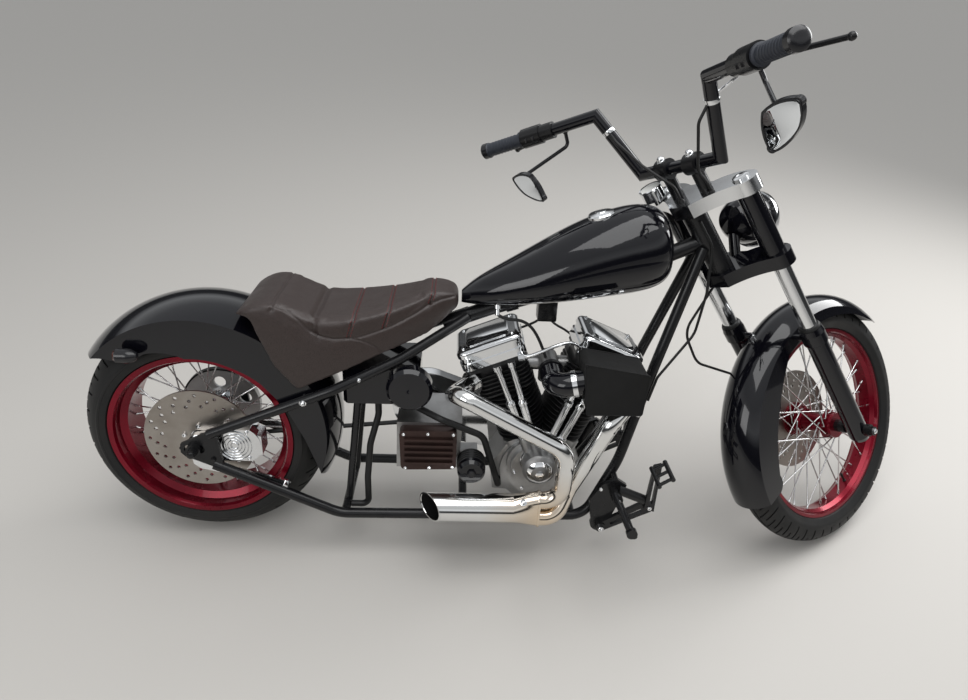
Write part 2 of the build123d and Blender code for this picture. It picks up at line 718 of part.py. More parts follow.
def exhaust_headers():
    """Rear header with its round bend over the ignition dome, and the front header inboard of it."""
    merge_x = EXHAUST_X + SEAT_GAP
    z_rear = EXHAUST_Z + EXHAUST_SPLIT
    z_front = EXHAUST_Z - EXHAUST_SPLIT
    rear = bent([(735, -36, 494), (668, -112, 486), (684, -198, 534), (964, EXHAUST_Y - 10, 386),
                 (960, EXHAUST_Y, z_rear), (merge_x, EXHAUST_Y, z_rear)], [34, 34, 70, 50], HEADER_R)
    front = bent([(1090, -36, 494), (1150, -112, 492), (1078, -190, 476), (984, -170, 240),
                  (950, EXHAUST_Y, z_front), (merge_x, EXHAUST_Y, z_front)], [34, 60, 60, 50], HEADER_R)
    return compound([largest(rear - bank(-1) * head()), largest(front - bank(1) * head())])


def exhaust_collector():
    """Two-into-one collector: a flared merge, the pipe and a tip cut aslant toward the outside."""
    facing_rear = Plane(origin=(EXHAUST_X, EXHAUST_Y, EXHAUST_Z), x_dir=(0, 0, 1), z_dir=(-1, 0, 0))
    merge = loft([facing_rear * SlotOverall(2 * (EXHAUST_SPLIT + HEADER_R + 2), 2 * (HEADER_R + 2)),
                  facing_rear * Pos(0, 0, 70) * Circle(COLLECTOR_R)])
    pipe = facing_rear * (Pos(0, 0, 70) * extrude(Circle(COLLECTOR_R), amount=330))
    bore = facing_rear * (Pos(0, 0, 90) * extrude(Circle(COLLECTOR_R - 3), amount=340))
    tip = deck(outline((450, EXHAUST_Y - 55), (655, EXHAUST_Y - 55), (575, EXHAUST_Y + 55),
                       (450, EXHAUST_Y + 55)), 100, 300)
    return largest(merge + pipe - bore - tip)


# Bodywork

# Fuel tank sections, tail to front: x, height of the bottom, half width at the bottom, half width, height
TANK_SECTIONS = (
    (684, 704, 8, 16, 30),
    (760, 708, 30, 58, 82),
    (880, 722, 48, 94, 142),
    (1010, 744, 58, 112, 194),
    (1100, 760, 58, 112, 208),
    (1164, 776, 48, 98, 186),
    (1196, 800, 32, 70, 118),
)


def tank_section(x, z_low, half_low, half, height):
    """Rounded section across the tank: flat floor, bulging sides and a crowned top."""
    side_z = z_low + height * 0.45
    face = outline((-half_low, z_low), (half_low, z_low),
                   ((half * 0.93, z_low + height * 0.2), (half, side_z)),
                   ((half * 0.72, z_low + height * 0.84), (0, z_low + height)),
                   ((-half * 0.72, z_low + height * 0.84), (-half, side_z)),
                   ((-half * 0.93, z_low + height * 0.2), (-half_low, z_low)))
    return Plane(origin=(x, 0, 0), x_dir=(0, 1, 0), z_dir=(1, 0, 0)) * face


def fuel_tank():
    tank = loft([tank_section(*row) for row in TANK_SECTIONS])
    return largest(tank - backbone(BACKBONE_R + TUNNEL_GAP, (600, 0, 624)))


def fender_envelope(radius, half, centre):
    """Full disc that a fender's outside lies on, for clearing what passes near it."""
    return Pos(centre[0], 0, centre[1]) * wheel_turned(outline(
        (0, -half), (radius - 26, -half), ((radius, 0), (radius - 26, half)), (0, half)))


def fender(radius, half, depth, centre, start, sweep_angle, wall, crown):
    """Curved sheet fender: a crowned strip with side walls, swept round an axle."""
    shoulder = radius - crown
    face = outline(
        (radius - depth, -half), (shoulder, -half), ((radius, 0), (shoulder, half)), (radius - depth, half),
        (radius - depth, half - wall), (shoulder - wall * 0.5, half - wall),
        ((radius - wall, 0), (shoulder - wall * 0.5, wall - half)), (radius - depth, wall - half))
    strip = revolve(face.rotate(Axis.Y, -start), Axis.Y, sweep_angle)
    return Pos(centre[0], 0, centre[1]) * strip


REAR_FENDER = dict(radius=350, half=115, depth=130, centre=(15, 352), start=-30, sweep_angle=-178,
                   wall=3, crown=26)
REAR_FENDER_EDGE = outline((346, 140), (330, 180), (315, 246), (282, 342), (237, 440), (180, 507),
                           ((96, 556), (3, 570)), ((-50, 586), (-96, 582)), ((-150, 562), (-198, 566)),
                           ((-240, 564), (-290, 538)), (-400, 538), (-400, 800), (500, 800), (500, 140))
FENDER_BOSS = (290.0, 470.0)


def belt_outline(extra):
    """Side outline of the belt's loop, offset outward."""
    r1 = PULLEY_R + extra
    r2 = DRIVE_PULLEY_R + extra
    angle = atan2(DRIVE_Z - REAR_TYRE_R, DRIVE_X)
    wrap = pi / 2 - (r1 - r2) / hypot(DRIVE_X, DRIVE_Z - REAR_TYRE_R)
    centre1 = (0, REAR_TYRE_R)
    centre2 = (DRIVE_X, DRIVE_Z)
    points = [(c[0] + r * cos(angle + s * wrap), c[1] + r * sin(angle + s * wrap))
              for c, r, s in ((centre1, r1, 1), (centre2, r2, 1), (centre2, r2, -1), (centre1, r1, -1))]
    front = (centre2[0] + r2 * cos(angle), centre2[1] + r2 * sin(angle))
    back = (centre1[0] - r1 * cos(angle), centre1[1] - r1 * sin(angle))
    return outline(points[0], points[1], (front, points[2]), points[3], (back, points[0]))


def rear_fender():
    """Rear fender with a boss to each stay, notched on the left where the belt runs."""
    notch = slab(belt_outline(BELT_WALL + 10), PULLEY_Y - 6, PULLEY_Y + BELT_WIDTH + 20)
    reach = REAR_FENDER["half"] + 5
    body = largest((fender(**REAR_FENDER) & slab(REAR_FENDER_EDGE, -reach, reach)) - notch)
    for side in (-1, 1):
        boss = rod((FENDER_BOSS[0], side * (REAR_FENDER["half"] - 2), FENDER_BOSS[1]),
                   (FENDER_BOSS[0], side * RAIL_Y, FENDER_BOSS[1]), 9)
        body = body + largest(boss - stay(side))
    return body


def seat():
    """Saddle with a raised tail and side skirts, over the fender and the stays."""
    side = outline((132, 694), (150, 708), ((204, 726), (254, 718)), ((300, 698), (345, 686)),
                   ((460, 700), (578, 734)), ((630, 748), (672, 738)), (680, 708), (600, 640),
                   (483, 596), (276, 500), (222, 566), (172, 690))
    plan = outline((110, -96), ((150, -124), (200, -130)), (340, -130), ((480, -112), (600, -70)),
                   (690, -46), (690, 46), (600, 70), ((480, 112), (340, 130)), (200, 130),
                   ((150, 124), (110, 96)))
    body = slab(side, -140, 140) & deck(plan, 400, 800)
    body = body - fender_envelope(REAR_FENDER["radius"] + SEAT_GAP, REAR_FENDER["half"] + SEAT_GAP,
                                  REAR_FENDER["centre"])
    for side_sign in (-1, 1):
        body = body - rod((714, side_sign * 16, 674), (520, side_sign * 88, 566), RAIL_R + 2)
    body = body - rod((760, 0, 688), (600, 0, 624), BACKBONE_R + 2)
    return max(body.solids(), key=lambda solid: solid.volume)


def turn_signals():
    """Bullet lamps on short stalks on the fender's sides."""
    lamps = []
    for side in (-1, 1):
        stalk = rod((-128, side * 115.3, 590), (-128, side * 134, 590), 6)
        lamp = at((-96, side * 142, 590), (-1, 0, 0),
                  turned((0, 0), (8, 3), ((16, 16), (18, 34)), (18, 50), (15, 53), (0, 53)))
        lamps.append(stalk + lamp)
    return compound(lamps)


# Brakes and controls

def rear_caliper():
    """Bridge caliper over the disc's edge, on a bracket from the axle."""
    z = REAR_TYRE_R
    y = REAR_DISC_Y
    outer = slab(outline((64, z - 48), (140, z - 48), ((166, z), (140, z + 48)), (64, z + 48),
                         ((40, z), (64, z - 48))), CALIPER_FACE, y - DISC_WALL / 2 - CALIPER_GAP)
    inner = slab(outline((84, z - 44), (150, z - 44), (150, z + 44), (84, z + 44)),
                 y + DISC_WALL / 2 + CALIPER_GAP, y + 24)
    reach = DISC_R + CALIPER_GAP + 0.5
    bridge = slab(outline((reach, z - 34), (reach + 20, z - 28), (reach + 20, z + 28), (reach, z + 34)),
                  CALIPER_FACE + 2, y + 23)
    bracket = slab(outline((0, z - 26), (60, z - 30), (60, z + 30), (0, z + 26), ((-26, z), (0, z - 26))),
                   -112, y - DISC_WALL / 2 - CALIPER_GAP)
    body = outer + bridge + (inner & slab(outline((60, z - 60), (reach + 4, z - 60), (reach + 4, z + 60),
                                                  (60, z + 60)), -120, 0))
    body = body + slab(outline((148, z - 34), (reach + 2, z - 34), (reach + 2, z + 34), (148, z + 34)),
                       y + DISC_WALL / 2 + CALIPER_GAP, y + 23)
    return largest(body + bracket) - rod((0, -140, z), (0, 0, z), SPACER_R + 0.02)


def torque_arm(rail):
    """Flat arm from a ring on the axle spacer to a lug on the lower rail."""
    z = REAR_TYRE_R
    arm = slab(outline((-24, z), (-16, z - 60), (0, z - 74), (224, 194), ((234, 203), (224, 212)),
                       (20, z - 52), (24, z), ((0, z + 24), (-24, z))), CALIPER_FACE, -112 - SEAT_GAP)
    arm = arm + rod((222, -112.5, 203), (222, -RAIL_Y, 203), 7)
    return largest(arm - rail - rod((0, -140, z), (0, 0, z), SPACER_R + 0.02))


# Bars of one foot control: start and end (x from CONTROL_X, y, z), and radius
CONTROL_X = WHEELBASE - 635.0
CONTROL_BARS = (
    ((0, -150, 231), (0, -196, 231), 12),
    ((-6, -192, 240), (8, -318, 226), 7),
    ((12, -192, 218), (26, -318, 204), 7),
    ((4, -192, 229), (4, -204, 229), 14),
    ((8, -314, 226), (26, -314, 204), 7),
    ((17, -308, 215), (17, -322, 215), 14),
    ((10, -170, 240), (86, -170, 208), 13),
    ((86, -262, 319), (86, -180, 319), 6),
    ((118, -262, 341), (118, -182, 341), 6),
    ((86, -255, 319), (118, -255, 341), 4.5),
    ((86, -222, 319), (118, -222, 341), 4.5),
    ((86, -190, 319), (118, -190, 341), 4.5),
    ((-28, -152, 158), (-28, -104, 158), 9),
    ((6, -152, 252), (6, -96, 252), 9),
)


def forward_control(side, rail):
    """Mounting plate, open peg, L-shaped lever and open pad on one side, on bosses from the down tube."""
    x = CONTROL_X
    plate = slab(outline((x - 62, 196), (x - 50, 126), ((x - 26, 94), (x - 4, 122)), (x + 22, 196),
                         (x + 34, 248), (x + 8, 266), (x - 30, 250)), -162, -150)
    low = slab(outline((x - 32, 126), (x - 26, 98), (x + 108, 170), (x + 116, 194), (x + 90, 204)),
               -174, -161.8)
    window = slab(outline((x - 2, 130), (x + 4, 124), (x + 84, 168), (x + 80, 180)), -180, -150)
    high = slab(outline((x + 84, 188), (x + 112, 180), (x + 112, 332), (x + 92, 326)), -186, -173.8)
    slot = slab(outline((x + 96, 206), (x + 104, 206), (x + 106, 300), (x + 98, 300)), -200, -150)
    low_pivot = rod((x - 25, -162, 116), (x - 25, -178, 116), 14)
    high_pivot = rod((x + 98, -166, 192), (x + 98, -184, 192), 12)
    lever = plate + (low - window) + (high - slot) + low_pivot + high_pivot
    for start, end, radius in CONTROL_BARS:
        lever = lever + rod((x + start[0], *start[1:]), (x + end[0], *end[1:]), radius)
    return largest((lever if side < 0 else mirrored(lever)) - rail)


# Side stand

def stand_axis():
    """Unit direction of the stand's hinge: positive swings the leg back from its stop."""
    reach = Vector(*STAND_REACH).normalized()
    folded = Vector(*STAND_FOLDED).normalized()
    return reach.cross(folded).normalized()


def stand_range():
    reach = Vector(*STAND_REACH).normalized()
    folded = Vector(*STAND_FOLDED).normalized()
    return degrees(atan2(reach.cross(folded).length, reach.dot(folded)))


def stand_bracket():
    """Two plates on the left rail with the stand's pin between them."""
    pivot = Vector(*STAND_PIVOT)
    rail_point = Vector(STAND_PIVOT[0], RAIL_Y, RAIL_Z)
    bracket = at(STAND_PIVOT, stand_axis(), Pos(0, 0, -STAND_EYE_WALL / 2 - STAND_PLATE) *
                 extrude(Circle(STAND_PIN_R), amount=STAND_EYE_WALL + 2 * STAND_PLATE))
    inward = rail_point - pivot
    inward = inward - stand_axis() * inward.dot(stand_axis())
    shape = Circle(STAND_EYE_R) + Pos(inward.length / 2, 0) * Rectangle(inward.length, 2 * STAND_EYE_R)
    for z_low in (-STAND_EYE_WALL / 2 - BODY_GAP - STAND_PLATE, STAND_EYE_WALL / 2 + BODY_GAP):
        plate = extrude(Pos(0, 0, z_low) * shape, amount=STAND_PLATE, dir=(0, 0, 1))
        bracket = bracket + at(STAND_PIVOT, stand_axis(), plate, inward)
    return bracket


def side_stand():
    """Leg with an eye on its pin and a flat foot on the floor, drawn parked."""
    pivot = (PARKED * Pos(*STAND_PIVOT)).position
    axis = turn(PARKED, stand_axis())
    reach = turn(PARKED, STAND_REACH).normalized()
    foot = pivot - reach * ((pivot.Z - STAND_PAD / 2) / reach.Z)
    tongue = Pos(STAND_EYE_R, 0, 0) * Box(2 * STAND_EYE_R, 1.5 * STAND_EYE_R, STAND_EYE_WALL)
    stand = at(tuple(pivot), axis, tongue + Cylinder(STAND_EYE_R, STAND_EYE_WALL), reach)
    stand = stand + rod(tuple(pivot + reach * 1.6 * STAND_EYE_R), tuple(foot), STAND_LEG_R)
    stand = stand + Pos(foot.X, foot.Y, 0) * extrude(SlotOverall(64, 40), amount=STAND_PAD)
    stand = stand - Pos(foot.X, foot.Y, -50) * Box(200, 200, 100)
    return stand - at(tuple(pivot), axis, Cylinder(STAND_PIN_R + RUNNING_FIT, 2 * STAND_EYE_WALL))


# Steering, drawn along the steering axis

def clamp(z_low, z_high):
    """Fork clamp: a broad plate with a round boss at each leg and hollow flanks behind."""
    x, y = FORK_OFFSET, FORK_HALF
    plate = deck(outline((-36, -30), ((4, -76), (x - 30, -y - 12)), ((x - 4, -y - 38), (x + 33, -y - 14)),
                         ((x + 26, -y / 2), (x + 12, -36)), (x + 12, 36),
                         ((x + 26, y / 2), (x + 33, y + 14)), ((x - 4, y + 38), (x - 30, y + 12)),
                         ((4, 76), (-36, 30))), z_low, z_high)
    for side in (-1, 1):
        plate = plate - rod((FORK_OFFSET, side * FORK_HALF, z_low - 1),
                            (FORK_OFFSET, side * FORK_HALF, z_high + 1), FORK_TUBE_R + 0.02)
    return plate


def bottom_clamp():
    """Lower clamp with the steering stem."""
    plate = clamp(BOTTOM_CLAMP, BOTTOM_CLAMP + CLAMP_WALL)
    return plate + rod((0, 0, BOTTOM_CLAMP), (0, 0, TOP_CLAMP - CLAMP_WALL - SEAT_GAP), STEM_R)


def top_clamp():
    return clamp(TOP_CLAMP - CLAMP_WALL, TOP_CLAMP)


def fork_tubes():
    return compound([rod((FORK_OFFSET, side * FORK_HALF, 150),
                         (FORK_OFFSET, side * FORK_HALF, TOP_CLAMP + 4), FORK_TUBE_R) for side in (-1, 1)])


def fork_covers():
    """Black sleeves on the tubes between the clamps."""
    covers = []
    for side in (-1, 1):
        sleeve = turned((FORK_TUBE_R + 0.02, 0), (FORK_TUBE_R + 6, 0), (FORK_TUBE_R + 6, 172),
                        (FORK_TUBE_R + 0.02, 172))
        covers.append(Pos(FORK_OFFSET, side * FORK_HALF, BOTTOM_CLAMP + CLAMP_WALL + 0.2) * sleeve)
    return compound(covers)


def fork_sliders():
    """Lower legs with a collar at the top and an axle boss."""
    legs = []
    for side in (-1, 1):
        collar = SLIDER_R + COLLAR_WALL
        leg = turned((0, -34), (SLIDER_R - 4, -34), (SLIDER_R, -22), (SLIDER_R, 318), (collar, 322),
                     (collar, 352), (SLIDER_R + 1, SLIDER_TOP), (FORK_TUBE_R + 0.02, SLIDER_TOP),
                     (FORK_TUBE_R + 0.02, 149.9), (0, 149.9))
        leg = Pos(FORK_OFFSET, side * FORK_HALF, 0) * leg
        leg = leg - rod((FORK_OFFSET, side * (FORK_HALF - 40), 0), (FORK_OFFSET, side * (FORK_HALF + 40), 0),
                        FRONT_AXLE_R + 0.02)
        legs.append(leg)
    return compound(legs)


def front_axle():
    """Axle with spacers to the hub and a nut at each end."""
    shaft = rod((FORK_OFFSET, -FRONT_AXLE_HALF, 0), (FORK_OFFSET, FRONT_AXLE_HALF, 0), FRONT_AXLE_R)
    inner = FORK_HALF - SLIDER_R - SEAT_GAP
    nut = FORK_HALF + SLIDER_R + SEAT_GAP
    disc_face = FRONT_DISC_Y - DISC_WALL / 2 - SEAT_GAP
    for y_from, y_to, radius in ((-inner, -FRONT_HUB_HALF - BODY_GAP, SPACER_R),
                                 (disc_face + BODY_GAP, inner, SPACER_R),
                                 (-nut - AXLE_NUT, -nut, 17), (nut, nut + AXLE_NUT, 17)):
        shaft = shaft + rod((FORK_OFFSET, y_from, 0), (FORK_OFFSET, y_to, 0), radius)
    return shaft


FRONT_FENDER = dict(radius=374, half=62, depth=112, centre=(FORK_OFFSET, 0), start=11, sweep_angle=-164,
                    wall=3, crown=34)
FRONT_FENDER_EDGE = outline((450, 60), (421, 86), (388, 106), (362, 142), ((214, 270), (16, 302)),
                            ((-60, 250), (-121, 192)), ((-172, 126), (-206, 66)), ((-216, 34), (-250, 28)),
                            (-400, 28), (-400, 450), (450, 450))
FENDER_LUG = 330.0


def front_fender():
    """Fender with a stay to the collar of each slider."""
    reach = FRONT_FENDER["half"] + 5
    body = largest(fender(**FRONT_FENDER) & slab(FRONT_FENDER_EDGE, -reach, reach))
    for side in (-1, 1):
        lug = rod((FORK_OFFSET, side * 60, FENDER_LUG), (FORK_OFFSET, side * FORK_HALF, FENDER_LUG), 8)
        leg = rod((FORK_OFFSET, side * FORK_HALF, 0), (FORK_OFFSET, side * FORK_HALF, SLIDER_TOP),
                  SLIDER_R + COLLAR_WALL + 0.02)
        body = body + largest(lug - leg)
    return body


def front_caliper():
    """Four-piston caliper over the disc's edge, on a lug from the left leg."""
    z = 128
    y = FRONT_DISC_Y
    x = FORK_OFFSET - 26
    body = slab(outline((x - 62, z - 44), (x - 20, z - 44), (x + 2, z - 10), (x + 2, z + 30),
                        (x - 30, z + 52), (x - 66, z + 30)), y - 20, y + 30)
    gap = DISC_WALL / 2 + CALIPER_GAP
    reach = DISC_R + CALIPER_GAP
    disc_room = Pos(FORK_OFFSET, 0, 0) * wheel_turned(outline((0, y - gap), (reach, y - gap),
                                                              (reach, y + gap), (0, y + gap)))
    lug = slab(outline((x - 10, z - 26), (x + 26, z - 26), (x + 26, z + 26), (x - 10, z + 26)),
               y + 8, FORK_HALF - 12)
    leg = rod((FORK_OFFSET, FORK_HALF, 0), (FORK_OFFSET, FORK_HALF, SLIDER_TOP), SLIDER_R + 0.02)
    return largest(body + lug - leg - disc_room)


def handlebar():
    """Z bar: centre section, risers outward and up, then the grips swept back, with mitred corners."""
    half = [(BAR_FORWARD, BAR_HALF, BAR_UP), (BAR_FORWARD + 5, BAR_HALF + 56, BAR_UP + 183),
            (BAR_FORWARD - 136, BAR_HALF + 360, BAR_UP + 234)]
    points = [(x, -y, z) for x, y, z in reversed(half)] + half
    path = Polyline(*points)
    section = Plane(origin=path @ 0, z_dir=path % 0) * Circle(BAR_R)
    bar = sweep(section, path=path, transition=Transition.RIGHT)
    for side in (-1, 1):
        a, b = bar_point(side, GRIP_START), bar_point(side, 1.1)
        length = (b - a).length
        waste = turned((GRIP_BAR_R, 0), (2 * BAR_R, 0), (2 * BAR_R, length), (GRIP_BAR_R, length))
        bar = bar - at(tuple(a), b - a, waste)
    return bar


def bar_point(side, share):
    """A point along a grip section, from its inner corner at 0 to its end at 1."""
    start = Vector(BAR_FORWARD + 5, side * (BAR_HALF + 56), BAR_UP + 183)
    end = Vector(BAR_FORWARD - 136, side * (BAR_HALF + 360), BAR_UP + 234)
    return start + (end - start) * share


def grips():
    sleeves = []
    bore = GRIP_BAR_R + RUNNING_FIT
    outer = GRIP_BAR_R + GRIP_WALL
    for side in (-1, 1):
        a, b = bar_point(side, GRIP_START), bar_point(side, 1.0)
        length = (b - a).length
        sleeve = turned((bore, 0.1), (outer + 4, 0.1), (outer + 4, 6), (outer, 8), (outer, length - 16),
                        (outer + 3, length - 13), (outer + 3, length + 2),
                        crown(outer + 3, length + 2, length + 7), (0, length + 0.1), (bore, length + 0.1))
        sleeves.append(at(tuple(a), b - a, sleeve))
    return compound(sleeves)


def risers():
    """Two posts on the top clamp, each with a cap round the bar."""
    posts = []
    for side in (-1, 1):
        foot = (BAR_FORWARD, side * 45, TOP_CLAMP + 0.2)
        post = rod(foot, (BAR_FORWARD, side * 45, BAR_UP - BAR_R), 16)
        cap = rod((BAR_FORWARD, side * 45 - 17, BAR_UP), (BAR_FORWARD, side * 45 + 17, BAR_UP), BAR_R + 10)
        bar = rod((BAR_FORWARD, side * 45 - 20, BAR_UP), (BAR_FORWARD, side * 45 + 20, BAR_UP), BAR_R + 0.02)
        posts.append(post + cap - bar)
    return compound(posts)


def perch(side):
    """Upright barrel that the lever turns in, ahead of the bar."""
    centre = bar_point(side, PERCH_START + 0.04) + Vector(50, 0, -20)
    return centre, rod(tuple(centre - Vector(0, 0, 13)), tuple(centre + Vector(0, 0, 13)), 11)


def hand_controls():
    """Lever perch, switch housing and lever on each side."""
    pieces = []
    for side in (-1, 1):
        a, b, c = (bar_point(side, share) for share in (PERCH_START, PERCH_START + 0.11, GRIP_START - 0.01))
        axis = (c - a).normalized()
        bar = rod(tuple(a - axis * 10), tuple(c + axis * 10), BAR_R + RUNNING_FIT)
        root, barrel_piece = perch(side)
        tip = bar_point(side, 1.0) + Vector(108, side * 17, -58)
        body = rod(tuple(a), tuple(b), BAR_R + 6) + rod(tuple(b - axis), tuple(c), BAR_R + 10)
        body = body + rod(tuple((a + b) * 0.5), tuple(root), 11) + rod(tuple(root), tuple(tip), 5.5)
        pieces.append(body + barrel_piece + Pos(*tip) * Sphere(8) - bar)
    return compound(pieces)


def mirrors():
    """Leaf-shaped mirrors on bent stems that hang below the lever perches, drawn on the right."""
    root, barrel_piece = perch(-1)
    centre = Vector(-98, -400, 992)
    elbow = root + Vector(-12, -8, -46)
    stem = bent([tuple(root), tuple(elbow), tuple(centre + Vector(-6, 4, 36))], [16], 5)
    leaf = outline((-34, 34), ((4, 46), (36, 43)), ((46, 38), (45, 26)), ((38, 4), (16, -22)),
                   ((-8, -38), (-34, -46)), ((-46, -44), (-47, -32)), ((-46, 2), (-34, 34)))
    shell = at(tuple(centre), (-1, 0, 0.1), extrude(leaf, amount=13), (0, -1, 0))
    body = largest(stem - barrel_piece) + shell
    return compound([body, mirrored(body)])


def headlight():
    """Bucket with a rim and a lens, on a post from the lower clamp (upright machine)."""
    centre = neck_axis(HEADLIGHT_UP, HEADLIGHT_FORWARD)
    r = HEADLIGHT_R
    shell = at(centre, (-1, 0, 0), turned((0, 0), (r - 6, 0), (r, 4), (r, 16), (r - 5, 19), (r - 6, 34),
                                          ((r - 16, HEADLIGHT_LENGTH * 0.7), (r / 2, HEADLIGHT_LENGTH - 6)),
                                          (0, HEADLIGHT_LENGTH)))
    post = rod(neck_axis(BOTTOM_CLAMP + 5, 48), neck_axis(BOTTOM_CLAMP + CLAMP_WALL + 42, 92), 14)
    return largest(shell + post - STEER * bottom_clamp())


# Steered cables: points and corner radii
STEERED_CABLES = (
    ([(24, 66, BOTTOM_CLAMP - 0.2), (24, 66, BOTTOM_CLAMP - 30), (-128, 90, 500), (-142, 92, 400),
      (-40, 96, 262), (-2, 92, 215), (-2, 92, 180.3)], [12, 50, 60, 40, 12]),
    ([(29.8, 165, BAR_UP + 139), (6, 132, BAR_UP + 113), (-8, 72, BAR_UP + 38), (-10, 8, TOP_CLAMP + 45),
      (-10, 8, TOP_CLAMP + 0.2)], [20, 60, 30]),
    ([(29.8, -165, BAR_UP + 139), (-16, -146, BAR_UP + 109), (-26, -96, BAR_UP + 3),
      (14, -68, TOP_CLAMP + 29), (14, -68, TOP_CLAMP + 0.2)], [20, 60, 12]),
)


def steered_cables():
    """Brake hose from the lower clamp to the caliper, and two cables from the bar to the top clamp."""
    bar = handlebar()
    return compound([largest(bent(points, radii, CABLE_R) - bar) for points, radii in STEERED_CABLES])


def gauge():
    """Small round gauge beside the left riser, on a strap from the clamp."""
    can = Pos(-2, 92, TOP_CLAMP + SEAT_GAP) * turned((0, 0), (8, 0), (9, 12), (29, 18), (29, 44), (26, 48),
                                                     (0, 48))
    strap = outline((-2, 84), (56, 76), (56, 92), (-2, 100), ((-10, 92), (-2, 84)))
    return can + deck(strap, TOP_CLAMP + SEAT_GAP, TOP_CLAMP + 4)


FRAME = {
    "frame_neck": frame_neck, "crankcase": crankcase, "cam_cover": cam_cover, "intake_elbow": intake_elbow,
    "carburettor": intake, "air_filter": air_filter, "primary_cover": primary_cover,
    "transmission": transmission, "transmission_cover": transmission_cover, "drive_belt": belt,
    "oil_tank": oil_tank, "oil_filter": oil_filter, "frame_lines": frame_lines,
    "exhaust_headers": exhaust_headers, "exhaust_collector": exhaust_collector,
    "fuel_tank": fuel_tank, "seat": seat, "rear_fender": rear_fender, "turn_signals": turn_signals,
    "rear_axle": rear_axle, "rear_caliper": rear_caliper,
}

STEERING = {
    "top_clamp": top_clamp, "bottom_clamp": bottom_clamp, "fork_tubes": fork_tubes,
    "fork_covers": fork_covers, "fork_sliders": fork_sliders, "front_axle": front_axle,
    "front_fender": front_fender, "front_caliper": front_caliper, "handlebar": handlebar, "grips": grips,
    "risers": risers, "hand_controls": hand_controls, "mirrors": mirrors, "gauge": gauge,
    "steered_cables": steered_cables,
}


def all_parts():
    """Every node's shape, parked."""
    parts = {name: PARKED * make() for name, make in FRAME.items()}
    rails = [cradle(side) for side in (-1, 1)]
    frame = {
        "frame_cradle_right": rails[0], "frame_cradle_left": rails[1] + stand_bracket(),
        "frame_stays": compound([rear_triangle(-1, rails[0]), rear_triangle(1, rails[1])]),
        "frame_cross_members": cross_members(rails), "torque_arm": torque_arm(rails[0]),
        "cylinder_barrels": compound([bank(sign) * barrel() & bank_side(sign, 0.4) for sign in (-1, 1)]),
        "cylinder_heads": compound([bank(sign) * head() for sign in (-1, 1)]),
        "rocker_covers": compound([bank(sign) * rocker_cover() for sign in (-1, 1)]),
        "pushrod_tubes": compound([pushrod_tube(*row) for row in PUSHRODS]),
        "forward_controls": compound([forward_control(-1, rails[0]), forward_control(1, rails[1])]),
    }
    frame.update(rear_wheel_parts())
    parts.update({name: PARKED * shape for name, shape in frame.items()})
    steered = {name: make() for name, make in STEERING.items()}
    steered.update(front_wheel_parts())
    parts.update({name: STEERED * shape for name, shape in steered.items()})
    parts["headlight"] = STRAIGHT * headlight()
    parts["side_stand"] = side_stand()
    return parts


def centring(parts):
    """Location that brings the middle of the whole machine's box over the origin."""
    box = Compound([shape for shape in parts.values()]).bounding_box()
    return Pos(-(box.min.X + box.max.X) / 2, -(box.min.Y + box.max.Y) / 2, 0)


def main():
    parts = all_parts()
    centre = centring(parts)
    os.makedirs("parts", exist_ok=True)
    for name, shape in parts.items():
        export_step(centre * shape, f"parts/{name}.step")


if __name__ == "__main__":
    main()
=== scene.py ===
import json
from math import atan2, cos, exp, hypot, pi, radians, sin

import bpy
from mathutils import Matrix, Vector


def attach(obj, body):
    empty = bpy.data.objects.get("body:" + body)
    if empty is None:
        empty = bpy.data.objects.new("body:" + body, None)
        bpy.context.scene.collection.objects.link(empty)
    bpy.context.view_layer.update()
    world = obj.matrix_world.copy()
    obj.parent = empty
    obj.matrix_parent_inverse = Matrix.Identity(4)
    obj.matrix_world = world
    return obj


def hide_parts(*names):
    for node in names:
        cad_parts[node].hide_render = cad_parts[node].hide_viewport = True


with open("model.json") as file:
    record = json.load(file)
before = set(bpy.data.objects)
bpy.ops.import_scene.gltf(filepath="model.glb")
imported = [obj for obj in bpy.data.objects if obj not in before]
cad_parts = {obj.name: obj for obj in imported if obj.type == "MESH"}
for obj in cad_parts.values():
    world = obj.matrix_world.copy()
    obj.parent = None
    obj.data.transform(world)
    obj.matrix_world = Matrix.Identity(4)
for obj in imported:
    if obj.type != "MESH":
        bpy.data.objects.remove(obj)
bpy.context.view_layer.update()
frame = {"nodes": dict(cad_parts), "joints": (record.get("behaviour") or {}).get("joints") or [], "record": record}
bpy.ops.object.select_all(action="DESELECT")

# Places read from the frame. Pieces are drawn in millimetres, in the upright machine (x forward,
# y left, z up, rear axle above the origin) or along the steering axis (x forward of it, z up it)
JOINTS = {joint["name"]: joint for joint in frame["joints"]}
REAR_AXLE = Vector(JOINTS["rear_wheel_spin"]["pos_m"])
REAR_AXIS = Vector(JOINTS["rear_wheel_spin"]["axis"])
FRONT_AXLE = Vector(JOINTS["front_wheel_spin"]["pos_m"])
FRONT_AXIS = Vector(JOINTS["front_wheel_spin"]["axis"])
STEER_FOOT = Vector(JOINTS["steering"]["pos_m"])
STEER_AXIS = Vector(JOINTS["steering"]["axis"])
RAKE = radians(35)
REAR_RADIUS = 322
FORK_OFFSET = 58
MILLIMETRE = Matrix.Scale(0.001, 4)


def placing(origin, forward, left, up):
    """Matrix from metres drawn along three directions to the frame."""
    return Matrix.Translation(origin) @ Matrix((forward, left, up)).transposed().to_4x4()


